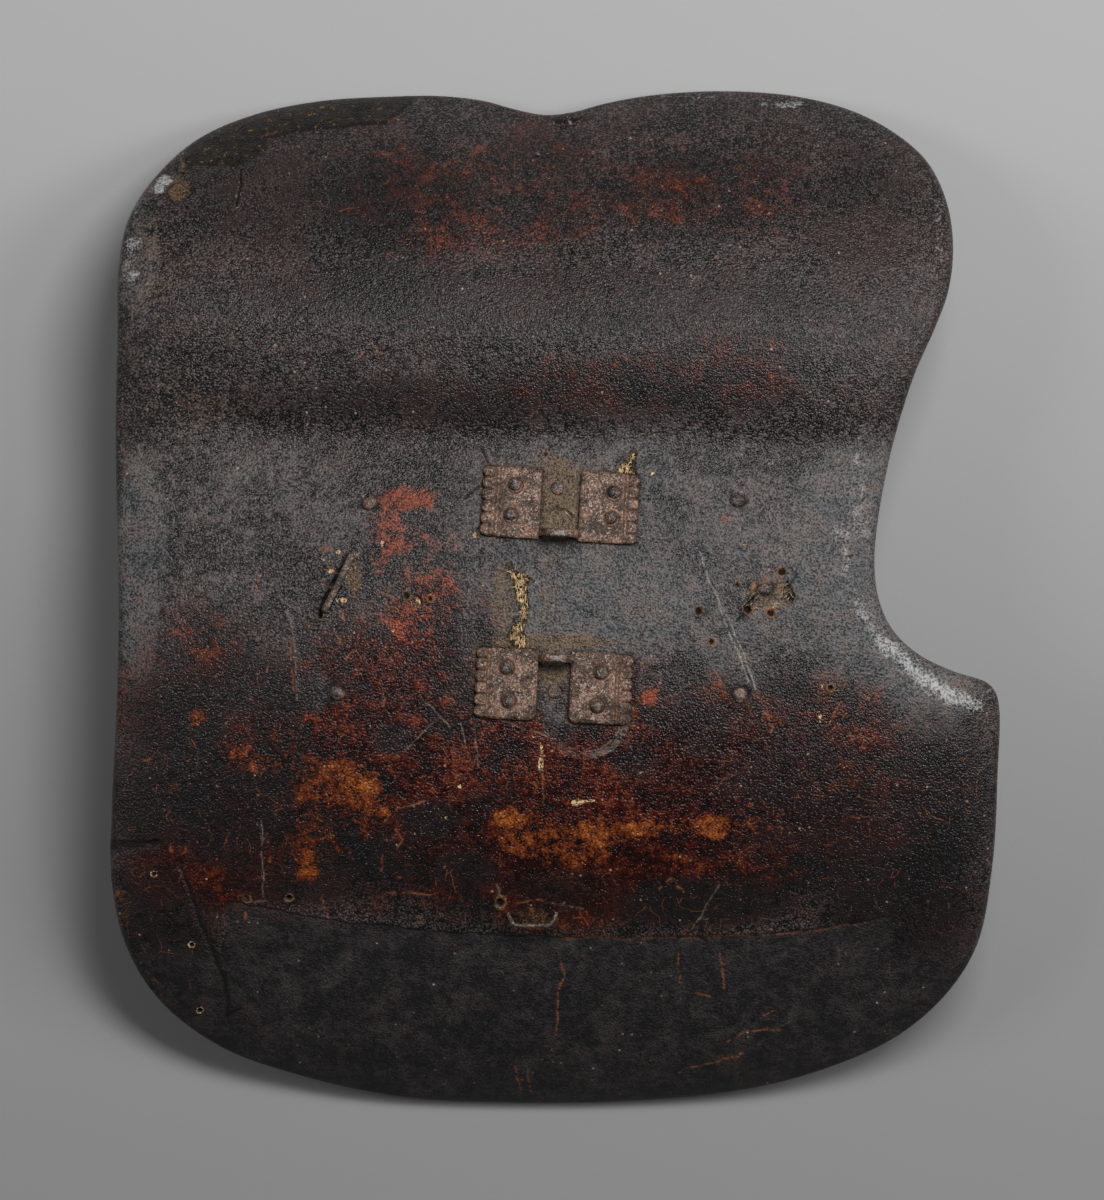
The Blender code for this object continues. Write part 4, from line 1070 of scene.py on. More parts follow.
def refined(board):
    """Cuts the back's cells near sharp features finer; returns the mesh and its coarse count."""
    verts = np.concatenate(board.verts)
    sides = np.concatenate(board.sides)
    px, py = pixels_of(verts[:, 0], verts[:, 1], verts[:, 2] + LIFT)
    wanted = needs_fine_mesh(px, py) & (sides == board.BACK)
    mesh = bpy.data.meshes.new("coarse_board")
    mesh.from_pydata(verts.tolist(), [], board.faces)
    shape = bmesh.new()
    shape.from_mesh(mesh)
    bpy.data.meshes.remove(mesh)
    bmesh.ops.recalc_face_normals(shape, faces=shape.faces)
    shape.verts.ensure_lookup_table()
    chosen = set()
    for face in shape.faces:
        corners = [vert.index for vert in face.verts]
        if wanted[corners].any() and (sides[corners] == board.BACK).all():
            chosen.update(face.edges)
    edges = [edge for edge in shape.edges if edge in chosen]
    bmesh.ops.subdivide_edges(shape, edges=edges, cuts=FINE_CUTS, use_grid_fill=True)
    many = [face for face in shape.faces if len(face.verts) > 4]
    bmesh.ops.triangulate(shape, faces=many)
    shape.verts.index_update()
    return shape, len(verts)


def leather_piece(material):
    board = coarse_board()
    shape, count = refined(board)
    mesh = bpy.data.meshes.new("board_leather")
    shape.to_mesh(mesh)
    shape.free()
    total = len(mesh.vertices)
    flat = np.zeros(total * 3)
    mesh.vertices.foreach_get("co", flat)
    co = flat.reshape(-1, 3)
    sides = np.full(total, BoardMesh.BACK)
    sides[:count] = np.concatenate(board.sides)
    directions = np.zeros((total, 3))
    directions[:count] = np.concatenate(board.directions)
    back = sides == BoardMesh.BACK
    added = np.arange(total) >= count
    directions[added] = back_normal(co[added, 0], co[added, 1])
    co[added, 2] = back_height(co[added, 0], co[added, 1])

    px, py = pixels_of(co[:, 0], co[:, 1], co[:, 2] + LIFT)
    height, masks = board_relief(co[:, 0], co[:, 1], px, py)
    level = np.where(sides == BoardMesh.FRONT, 0.0, 1.0)
    height = np.where(level > 0.0, height, FRONT_WAVES * rough_noise(co[:, 0], co[:, 1], 0.050, 131))
    rim_gap = edge_distance(co[:, 0], co[:, 1])
    height = np.where(back, height, height * smooth_step(rim_gap / RIM_CALM) * 0.5)
    co = co + directions * height[:, None]
    co[:, 2] = np.maximum(co[:, 2] + LIFT, 0.0)
    mesh.vertices.foreach_set("co", co.ravel())
    write_masks(mesh, {name: values * level for name, values in masks.items()})
    write_masks(mesh, {"front": 1.0 - level})
    mesh.shade_smooth()
    mesh.materials.append(material)
    finish_piece(add_object("board_leather", mesh), "dark_leather", "shield_board")


def finish_piece(piece, slot, *nodes):
    """Every piece rides on the one body and may stand for CAD nodes; the slot is not used."""
    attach(piece, "root")
    if nodes:
        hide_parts(*nodes)


# Materials


class Shader:
    """Adds and joins the nodes of one material; places are in metres on the object."""

    def __init__(self, name):
        self.material = bpy.data.materials.new(name)
        self.material.use_nodes = True
        self.tree = self.material.node_tree
        self.surface = self.tree.nodes["Principled BSDF"]
        self.place = self.add("ShaderNodeTexCoord").outputs["Object"]

    def add(self, kind, **settings):
        node = self.tree.nodes.new(kind)
        for name, value in settings.items():
            setattr(node, name, value)
        return node

    def feed(self, socket, value):
        if isinstance(value, bpy.types.NodeSocket):
            self.tree.links.new(value, socket)
        elif isinstance(value, tuple) and len(value) == 3 and socket.type == "RGBA":
            socket.default_value = (*value, 1.0)
        else:
            socket.default_value = value

    def math(self, operation, first, second=0.0):
        node = self.add("ShaderNodeMath", operation=operation)
        self.feed(node.inputs[0], first)
        self.feed(node.inputs[1], second)
        return node.outputs[0]

    def times(self, first, second):
        return self.math("MULTIPLY", first, second)

    def step(self, value, low, high, bottom=0.0, top=1.0):
        """Maps low..high smoothly to bottom..top, held at both ends."""
        node = self.add("ShaderNodeMapRange", interpolation_type="SMOOTHSTEP")
        for socket, given in zip(node.inputs, (value, low, high, bottom, top)):
            self.feed(socket, given)
        return node.outputs[0]

    def mix(self, share, first, second):
        node = self.add("ShaderNodeMix", data_type="RGBA")
        self.feed(node.inputs[0], share)
        self.feed(node.inputs[6], first)
        self.feed(node.inputs[7], second)
        return node.outputs[2]

    def noise(self, size, detail=2.0, roughness=0.6):
        """Noise from 0 to 1 whose hills are about size metres wide."""
        node = self.add("ShaderNodeTexNoise")
        self.feed(node.inputs["Vector"], self.place)
        node.inputs["Scale"].default_value = 1.0 / size
        node.inputs["Detail"].default_value = detail
        node.inputs["Roughness"].default_value = roughness
        return node.outputs[0]

    def cells(self, size):
        """Distance to the nearest of scattered points, and a number of each point's own."""
        node = self.add("ShaderNodeTexVoronoi")
        self.feed(node.inputs["Vector"], self.place)
        node.inputs["Scale"].default_value = 1.0 / size
        split = self.add("ShaderNodeSeparateColor")
        self.feed(split.inputs[0], node.outputs["Color"])
        return node.outputs["Distance"], split.outputs[0]

    def strokes(self, sizes, width, where):
        """Hair-fine scratches: short pieces of the walls between scattered, bent cells."""
        bend = self.add("ShaderNodeTexNoise")
        self.feed(bend.inputs["Vector"], self.place)
        bend.inputs["Scale"].default_value = BEND_SCALE
        bent = self.add("ShaderNodeVectorMath", operation="MULTIPLY_ADD")
        self.feed(bent.inputs[0], bend.outputs["Color"])
        bent.inputs[1].default_value = (BEND_REACH, BEND_REACH, BEND_REACH)
        self.feed(bent.inputs[2], self.place)
        lines = 0.0
        for size in sizes:
            walls = self.add("ShaderNodeTexVoronoi", feature="DISTANCE_TO_EDGE", voronoi_dimensions="2D")
            self.feed(walls.inputs["Vector"], bent.outputs[0])
            walls.inputs["Scale"].default_value = 1.0 / size
            line = self.step(walls.outputs["Distance"], width / size, 0.2 * width / size)
            piece = self.step(self.noise(0.5 * size, 1.0), 0.54, 0.62)
            lines = self.math("MAXIMUM", lines, self.times(line, piece))
        return self.times(lines, where)

    def mask(self, name):
        return self.add("ShaderNodeAttribute", attribute_name=name).outputs["Fac"]

    def plus(self, first, second):
        return self.math("ADD", first, second)

    def blend3(self, first, a, second, b, third, c):
        """Weighted sum of three noises."""
        return self.plus(self.plus(self.times(first, a), self.times(second, b)), self.times(third, c))

    def broken(self, mask, noise, amount, low, high):
        """A mask whose edge is broken up by a noise, mapped from low..high."""
        shifted = self.plus(mask, self.times(self.plus(noise, -0.5), amount))
        held = self.step(mask, 0.0, 0.25)
        return self.times(held, self.step(shifted, low, high))

    def ramp(self, value, stops):
        node = self.add("ShaderNodeValToRGB")
        self.feed(node.inputs[0], value)
        points = node.color_ramp.elements
        while len(points) < len(stops):
            points.new(0.5)
        for point, (place, colour) in zip(points, stops):
            point.position = place
            point.color = (*colour, 1.0)
        return node.outputs[0]

    def finish(self, colour, roughness, height, distance, metallic=0.0):
        """Joins the surface, with its height as a bump of the given distance in metres."""
        node = self.add("ShaderNodeBump")
        node.inputs["Strength"].default_value = 1.0
        node.inputs["Distance"].default_value = distance
        self.feed(node.inputs["Height"], height)
        sockets = {
            "Base Color": colour, "Roughness": roughness, "Normal": node.outputs[0], "Metallic": metallic,
        }
        for name, value in sockets.items():
            self.feed(self.surface.inputs[name], value)
        return self.material


# Gloss of the hide, and how strongly the cells of its fine scratches are bent
LEATHER_GLOSS = 0.27
BEND_SCALE = 45.0
BEND_REACH = 0.030


def leather_material():
    """Old dark hide, dusty grain above and glossy red-brown below, rubbed, stained, torn and sooty, with
    painted sheen, highlights and shade.
    """
    s = Shader("worn_dark_leather")
    wide = s.noise(0.050, 3.0, 0.6)
    middle = s.noise(0.015, 4.0, 0.68)
    small = s.noise(0.0040, 3.0, 0.68)
    grain = s.noise(0.0011, 1.0, 0.5)
    patchy = s.blend3(wide, 0.40, middle, 0.35, small, 0.25)
    fretted = s.blend3(middle, 0.42, small, 0.33, grain, 0.25)
    speck = s.blend3(grain, 0.65, small, 0.25, middle, 0.10)

    base = s.mix(s.step(patchy, 0.43, 0.58), (0.0070, 0.0058, 0.0056), (0.027, 0.0145, 0.0120))
    lower = s.math("MAXIMUM", s.mask("red"), s.mask("black"))
    light = s.times(s.step(speck, 0.48, 0.61, 0.0, 0.80), s.step(lower, 0.05, 0.60, 1.0, 0.15))
    colour = s.mix(light, base, (0.106, 0.0920, 0.0880))
    # Grey dust bloom, which along the lit edges is painted sheen
    dust = s.broken(s.mask("dust"), patchy, 2.4, 0.30, 0.95)
    dust_and_sheen_share = s.times(dust, s.step(speck, 0.39, 0.61, 0.18, 1.0))
    dust_and_sheen_tone = s.mix(s.step(middle, 0.40, 0.60), (0.114, 0.117, 0.120), (0.140, 0.121, 0.114))
    colour = s.mix(dust_and_sheen_share, colour, dust_and_sheen_tone)

    red = s.broken(s.mask("red"), patchy, 4.4, 0.12, 1.10)
    deep = s.ramp(s.step(fretted, 0.38, 0.64), [
        (0.0, (0.0035, 0.0018, 0.0016)), (0.42, (0.0210, 0.0030, 0.0020)),
        (0.74, (0.0660, 0.0085, 0.0040)), (1.0, (0.1800, 0.0400, 0.0130)),
    ])
    colour = s.mix(s.times(red, 0.96), colour, deep)
    black = s.broken(s.mask("black"), fretted, 5.4, 0.20, 1.00)
    colour = s.mix(s.times(black, 0.88), colour, (0.0100, 0.0098, 0.0105))

    spots = s.plus(s.mask("orange"), s.times(s.mask("red"), 0.19))
    wear = s.broken(spots, fretted, 6.0, 0.48, 1.95)
    rubbed = s.ramp(wear, [
        (0.0, (0.045, 0.0080, 0.0035)), (0.35, (0.095, 0.0190, 0.0055)),
        (0.70, (0.200, 0.0500, 0.0095)), (1.0, (0.400, 0.1300, 0.0220)),
    ])
    colour = s.mix(s.step(wear, 0.02, 0.30), colour, rubbed)

    stain = s.broken(s.mask("stain"), fretted, 4.0, 0.30, 0.90)
    stained = s.mix(s.step(fretted, 0.42, 0.60), (0.046, 0.0120, 0.0070), (0.290, 0.0560, 0.0210))
    colour = s.mix(s.times(stain, 0.78), colour, stained)
    tan = s.broken(s.mask("tan"), fretted, 1.8, 0.20, 0.95)
    tanned = s.mix(s.step(speck, 0.36, 0.66), (0.048, 0.029, 0.014), (0.195, 0.118, 0.054))
    colour = s.mix(s.times(tan, 0.75), colour, tanned)

    panel = s.mask("panel")
    charcoal = s.mix(s.step(fretted, 0.42, 0.60), (0.0100, 0.0094, 0.0096), (0.0275, 0.0238, 0.0238))
    rusty = s.step(patchy, 0.55, 0.66)
    charcoal = s.mix(s.times(rusty, 0.60), charcoal, (0.050, 0.0170, 0.0115))
    scuffed = s.times(s.step(middle, 0.50, 0.66), s.step(grain, 0.40, 0.60))
    charcoal = s.mix(s.times(scuffed, 0.55), charcoal, (0.052, 0.0440, 0.0440))
    colour = s.mix(s.times(panel, 0.94), colour, charcoal)

    flecks, fleck_colour = s.cells(0.0052)
    lit = s.times(s.step(flecks, 0.16, 0.07), s.step(fleck_colour, 0.60, 0.66))
    lit = s.times(lit, s.step(middle, 0.42, 0.60, 0.10, 1.0))
    pale_fleck = s.mix(s.step(small, 0.46, 0.54), (0.26, 0.070, 0.026), (0.46, 0.36, 0.27))
    colour = s.mix(s.times(lit, 0.75), colour, pale_fleck)
    scratched = s.strokes((0.036, 0.022, 0.014), 0.00034, s.step(middle, 0.36, 0.62))
    marked = s.mix(s.step(lower, 0.10, 0.60), (0.130, 0.112, 0.100), (0.250, 0.0820, 0.0280))
    colour = s.mix(s.times(scratched, s.step(lower, 0.0, 0.60, 0.25, 0.60)), colour, marked)
    pore = s.step(speck, 0.42, 0.33)
    colour = s.mix(s.times(pore, 0.75), colour, (0.0050, 0.0045, 0.0045))

    crust = s.mask("crust")
    crusty = s.mix(s.step(fretted, 0.42, 0.58), (0.0036, 0.0032, 0.0026), (0.016, 0.0120, 0.0070))
    ochre = s.times(s.step(small, 0.58, 0.66), s.step(grain, 0.50, 0.58))
    crusty = s.mix(s.times(ochre, 0.8), crusty, (0.26, 0.150, 0.035))
    colour = s.mix(s.times(crust, 0.95), colour, crusty)
    # Painted highlights: pale grey, a little glossier, at the rims' glints and along the notch's margin
    glint = s.times(s.broken(s.mask("glint"), fretted, 4.0, 0.25, 1.15), s.step(speck, 0.36, 0.60, 0.35, 1.0))
    colour = s.mix(s.times(glint, 0.85), colour, (0.44, 0.44, 0.44))
    bare = s.broken(s.mask("bare"), fretted, 1.6, 0.40, 0.70)
    straw = s.ramp(s.step(speck, 0.36, 0.62), [
        (0.0, (0.020, 0.0110, 0.0060)), (0.35, (0.200, 0.1050, 0.0380)), (1.0, (0.700, 0.4900, 0.2600)),
    ])
    colour = s.mix(bare, colour, straw)
    # Soot and painted shade: near black in holes, grooves, tear gaps, under the bows and round the iron
    colour = s.mix(s.times(s.mask("soot"), 0.96), colour, (0.0030, 0.0026, 0.0024))
    pale = s.times(s.mask("pale"), s.step(small, 0.36, 0.54))
    colour = s.mix(s.times(pale, 0.80), colour, (0.34, 0.300, 0.260))
    hair = s.times(s.mask("hair"), s.step(small, 0.38, 0.56))
    colour = s.mix(s.times(hair, 0.75), colour, (0.30, 0.100, 0.036))
    plain = s.mix(s.step(middle, 0.35, 0.65), (0.016, 0.0112, 0.0090), (0.034, 0.0240, 0.0190))
    colour = s.mix(s.mask("front"), colour, plain)

    rough = s.step(dust, 0.0, 1.0, 0.30, 0.40)
    rough = s.plus(rough, s.times(s.plus(small, -0.5), 0.45))
    rough = s.plus(rough, s.times(panel, 0.26))
    rough = s.plus(rough, s.times(s.math("MAXIMUM", bare, s.mask("soot")), 0.40))
    rough = s.plus(rough, s.times(glint, -0.10))
    rough = s.plus(rough, s.times(s.math("MAXIMUM", red, black), -0.10))
    s.feed(s.surface.inputs["Specular IOR Level"], LEATHER_GLOSS)

    relief = s.plus(s.times(grain, 0.85), s.times(small, 0.45))
    relief = s.plus(relief, s.times(middle, 0.70))
    return s.finish(colour, rough, relief, 0.00085)


# Rust colours, from the darkest to the lightest
BRACKET_TONES = (
    (0.016, 0.0090, 0.0065), (0.100, 0.0580, 0.0400), (0.200, 0.1370, 0.1030), (0.560, 0.4700, 0.4050),
)
NAIL_TONES = (
    (0.011, 0.0085, 0.0072), (0.055, 0.0420, 0.0350), (0.100, 0.0800, 0.0690), (0.270, 0.2350, 0.2100),
)
STAPLE_TONES = (
    (0.030, 0.0200, 0.0160), (0.100, 0.0730, 0.0590), (0.170, 0.1330, 0.1120), (0.460, 0.4000, 0.3500),
)


def iron_material(name, tones, metallic=0.25, dullness=0.55):
    """Rusted iron: brown, grey bloom, orange specks, dark pits; crowns worn bright with painted highlight,
    hollows with grime and painted shade.
    """
    s = Shader(name)
    wide = s.noise(0.0080, 3.0, 0.6)
    tone = s.noise(0.0014, 3.0, 0.75)
    pits = s.noise(0.0008, 1.0, 0.6)
    rust = s.blend3(wide, 0.30, tone, 0.45, pits, 0.25)
    colour = s.ramp(s.step(rust, 0.40, 0.61), list(zip((0.0, 0.45, 0.78, 1.0), tones)))
    orange = s.times(s.step(pits, 0.54, 0.64), s.step(wide, 0.46, 0.62))
    colour = s.mix(s.times(orange, 0.55), colour, (0.300, 0.0800, 0.0260))
    hollow = s.step(s.blend3(pits, 0.6, tone, 0.4, wide, 0.0), 0.42, 0.32)
    colour = s.mix(s.times(hollow, 0.85), colour, (0.0100, 0.0070, 0.0060))
    blotch = s.step(wide, 0.50, 0.66)
    colour = s.mix(s.times(blotch, 0.40), colour, (0.170, 0.0720, 0.0330))
    dirt = s.mask("dirt")
    rim_rust = s.times(s.step(dirt, 0.04, 0.30), s.step(tone, 0.40, 0.56))
    colour = s.mix(s.times(rim_rust, 0.60), colour, (0.200, 0.0800, 0.0300))
    # Grime and painted shade: darker in filed grooves, scallop notches, along plate edges, under the plates
    # and bow, round rivets and at the heads' rims
    colour = s.mix(s.step(dirt, 0.20, 1.0, 0.0, 0.90), colour, (0.0100, 0.0070, 0.0055))
    # Wear and painted highlight: lighter, shinier crowns of heads, the top of the bow and the bars' upper
    # sides
    worn = s.broken(s.mask("worn"), tone, 1.2, 0.30, 0.85)
    colour = s.mix(worn, colour, (0.240, 0.2200, 0.2100))
    rough = s.plus(s.step(worn, 0.0, 1.0, dullness, 0.40), s.times(s.plus(tone, -0.5), 0.35))
    shine = s.step(worn, 0.0, 1.0, metallic, 0.55)
    relief = s.plus(s.times(tone, 1.6), s.times(pits, 1.0))
    return s.finish(colour, rough, relief, 0.00034, shine)


def tow_material():
    """Pale straw coloured fibres, each a little different along its length."""
    s = Shader("tow_fibres")
    tone = s.noise(0.0030, 3.0, 0.6)
    fine = s.noise(0.0006, 2.0, 0.5)
    colour = s.mix(s.step(tone, 0.42, 0.58), (0.10, 0.046, 0.016), (0.76, 0.560, 0.310))
    return s.finish(colour, 0.75, fine, 0.0001)


# Iron fittings


def mesh_piece(name, verts, faces, material, masks=None, frame_at=None):
    """An object from arrays, with its faces turned outward and its masks as attributes."""
    mesh = bpy.data.meshes.new(name)
    mesh.from_pydata(np.asarray(verts, dtype=float).tolist(), [], faces)
    if frame_at is not None:
        mesh.transform(frame_at)
    shape = bmesh.new()
    shape.from_mesh(mesh)
    bmesh.ops.recalc_face_normals(shape, faces=shape.faces)
    shape.to_mesh(mesh)
    shape.free()
    write_masks(mesh, masks or {})
    mesh.shade_smooth()
    mesh.materials.append(material)
    return add_object(name, mesh)


def bracket_frame(place, tilt):
    """Turns a bracket's own plan coordinates into the board's."""
    centre_x, centre_y = on_board(place)

    def to_board(u, v):
        x = centre_x + u * math.cos(tilt) + v * math.sin(tilt)
        y = centre_y - u * math.sin(tilt) + v * math.cos(tilt)
        return x, y

    return to_board


LOBE_ROWS = 84
LOBE_COLUMNS = 68
BOW_STEPS = 44
OUTER_CORNER = 0.0032
INNER_CORNERS = {-1: 0.0018, 1: 0.0040}
EDGE_ROUNDING = 0.0007
FILED_HALF = 0.00042
FILED_DEPTH = 0.00055
NOTCH_FALL = 0.0008
END_STRIP = 0.0052


def corner_cut(v, radius, ends=(-1, 1)):
    """How far a rounded corner takes back a lobe's end at height v."""
    cut = np.zeros(np.shape(v))
    for end in ends:
        deep = radius - (BRACKET_HEIGHT / 2.0 - end * v)
        deep = np.clip(deep, 0.0, radius)
        cut = np.maximum(cut, radius - np.sqrt(radius ** 2 - deep ** 2))
    return cut


def scallop_wave(v):
    """1 at each scallop's middle and 0 between scallops."""
    phase = (v / BRACKET_HEIGHT + 0.5) * SCALLOPS * math.pi
    return np.abs(np.sin(phase))


def lobe_grid(side, facts):
    """Plan grid of one lobe in the bracket's own coordinates, and its top's height changes."""
    gap = facts["gap"]
    bow_side = facts["bow_side"]
    rows = np.linspace(-BRACKET_HEIGHT / 2.0, BRACKET_HEIGHT / 2.0, LOBE_ROWS + 1)
    start = gap / 2.0 + corner_cut(rows, INNER_CORNERS[bow_side], ends=(-bow_side,))
    wave = scallop_wave(rows + 0.0004 * side)
    reach = BRACKET_LENGTH / 2.0 - SCALLOP_DEPTH * (1.0 - wave) ** 1.5 - corner_cut(rows, OUTER_CORNER)
    shares = np.linspace(0.0, 1.0, LOBE_COLUMNS + 1)
    u = start[:, None] + shares[None, :] * (reach - start)[:, None]
    v = np.repeat(rows[:, None], LOBE_COLUMNS + 1, axis=1)

    to_outer = reach[:, None] - u
    to_inner = u - start[:, None]
    to_ends = BRACKET_HEIGHT / 2.0 - np.abs(v)
    near = np.minimum(np.minimum(to_outer, to_ends), to_inner)
    drop = EDGE_ROUNDING * ridge(near, EDGE_ROUNDING)
    grooves = np.zeros(np.shape(u))
    for distance in facts["filed"][side]:
        bend = 0.0002 * lattice_noise(v, u * 0.0, 0.009, 7 + side)
        grooves = np.maximum(grooves, ridge(BRACKET_LENGTH / 2.0 - u + bend, FILED_HALF, distance))
    strip = smooth_step((END_STRIP - to_outer) / 0.0016)
    notch = strip * (1.0 - wave[:, None]) ** 2
    dish = strip * wave[:, None] * 0.0003
    seed = 300 + 20 * side + (5 if bow_side > 0 else 0)
    pits = rough_noise(u + 0.1 * side, v, 0.0026, seed)
    waves = rough_noise(u + 0.1 * side, v, 0.010, seed + 9)
    change = 0.00022 * waves + 0.00014 * pits - drop
    change = change - FILED_DEPTH * grooves - NOTCH_FALL * notch - dish
    # Grime and painted shade in the filed grooves, the scallop notches and along the edges
    dirt = np.clip(0.75 * grooves + 0.9 * notch + 0.5 * smooth_step((0.0006 - near) / 0.0006), 0.0, 1.0)
    worn = 0.30 * smooth_step((pits - 0.35) / 0.3)
    for share_u, share_v in facts["rivets"]:
        away = np.hypot(u * side - share_u * BRACKET_LENGTH, v - share_v * BRACKET_HEIGHT)
        ring = ridge(away, SOFT_WALL, RIVET_HEAD[0] + CLEARANCE)
        # Painted shade in a ring round each rivet
        dirt = np.maximum(dirt, 0.9 * ring)
        change = change - 0.0002 * ring
    return u * side, v, change, dirt, worn


def bracket_piece(label, facts, material):
    """Two hammered lobes with filed ends and the raised bow that joins them, as one closed mesh."""
    to_board = bracket_frame(facts["place"], facts["tilt"])
    verts = []
    dirt = []
    worn = []
    faces = []

    def add(u, v, lift, dirty, bright):
        """Adds points over the board and returns their indices."""
        x, y = to_board(np.ravel(u), np.ravel(v))
        z = back_height(x, y) + LIFT + np.ravel(lift)
        first = sum(len(block) for block in verts)
        verts.append(np.column_stack([x, y, z]))
        dirt.append(np.ravel(np.broadcast_to(dirty, np.shape(u))))
        worn.append(np.ravel(np.broadcast_to(bright, np.shape(u))))
        return np.arange(first, first + np.size(u)).reshape(np.shape(u))

    rows = np.linspace(-BRACKET_HEIGHT / 2.0, BRACKET_HEIGHT / 2.0, LOBE_ROWS + 1)
    outer = BRACKET_HEIGHT / 2.0 - BOW_INSET
    bow_edges = sorted(facts["bow_side"] * edge for edge in (outer, outer - BOW_WIDTH))
    bow_low, bow_high = (int(np.argmin(np.abs(rows - edge))) for edge in bow_edges)
    ends = {}
    for side in (-1, 1):
        u, v, change, dirty, bright = lobe_grid(side, facts)
        # The plates' undersides get full painted shade
        low = add(u, v, np.full(np.shape(u), CLEARANCE), 1.0, 0.0)
        high = add(u, v, CLEARANCE + PLATE + change, dirty, bright)
        faces += sheet_faces(low) + sheet_faces(high)
        below = slice(None, bow_low + 1)
        above = slice(bow_high, None)
        for wall in ((0,), (-1,), (slice(None), -1), (below, 0), (above, 0)):
            faces += sheet_faces(np.stack([low[wall], high[wall]]))
        ends[side] = np.concatenate([low[bow_low:bow_high + 1, 0], high[bow_low:bow_high + 1, 0][::-1]])

    bow_rows = rows[bow_low:bow_high + 1]
    middle_v = (bow_rows[0] + bow_rows[-1]) / 2.0
    x0, y0 = to_board(0.0, middle_v)
    z0 = float(back_height(x0, y0)) + LIFT
    normal = back_normal(np.array(x0), np.array(y0))
    across = (bow_rows - middle_v) / (bow_rows[-1] - middle_v)
    crown = np.sqrt(np.clip(1.0 - np.abs(across) ** 2.6, 0.0, 1.0))
    shares = np.linspace(0.0, 1.0, BOW_STEPS + 1)[1:-1]
    ramps = np.minimum(np.minimum(shares, 1.0 - shares) / BOW_RAMP, 1.0)
    rises = BOW_RISE * smooth_step(ramps) ** 0.75
    half = BOW_THICKNESS / 2.0
    previous = ends[-1]
    for share, rise, ramp in zip(shares, rises, ramps):
        blend = smooth_step(ramp * 1.5)
        over = half * ((1.0 - blend) + blend * crown)
        under = -half * ((1.0 - blend) + blend * (0.25 + 0.75 * crown))
        narrow = 1.0 - 0.10 * blend * (1.0 - abs(2.0 * share - 1.0))
        lean = 0.35 * half * (1.0 - blend)
        v_line = middle_v + (bow_rows - middle_v) * narrow
        v_ring = np.concatenate([v_line, v_line[::-1]])
        offset = np.concatenate([under, over[::-1]])
        top = offset > 0.0
        u_ring = (share - 0.5) * facts["gap"] - np.where(top, lean, -lean) * (1.0 if share < 0.5 else -1.0)
        x, y = to_board(u_ring, v_ring)
        plane = z0 - (normal[0] * (x - x0) + normal[1] * (y - y0)) / normal[2]
        levelling = (plane - back_height(x, y) - LIFT) * smooth_step(ramp)
        dent = 0.00012 * rough_noise(u_ring + 0.3, v_ring, 0.0030, 401)
        lift = CLEARANCE + PLATE / 2.0 + levelling + rise + offset + dent
        # Painted highlight along the top of the bow's crown
        bright = blend * smooth_step((ramp - 0.55) / 0.4) * ridge(share, 0.26, 0.55)
        bright = 0.8 * bright * np.where(top, np.concatenate([crown, crown[::-1]]) ** 2, 0.0)
        # The bow's underside gets painted shade
        current = add(u_ring, v_ring, lift, np.where(top, 0.0, 0.8), bright)
        faces += band_faces(previous, current)
        previous = current
    faces += band_faces(previous, ends[1])
    masks = {"dirt": np.concatenate(dirt), "worn": np.concatenate(worn)}
    piece = mesh_piece(label + "_bracket_iron", np.concatenate(verts), faces, material, masks)
    finish_piece(piece, "bracket_iron", label + "_strap_bracket")


HEAD_SIDES = 36
HEAD_RINGS = 14
FACET_COUNT = 7
HEAD_SEED = 501
SHANK_DEPTH = 0.0040
SKIRT_DEPTH = 0.0004


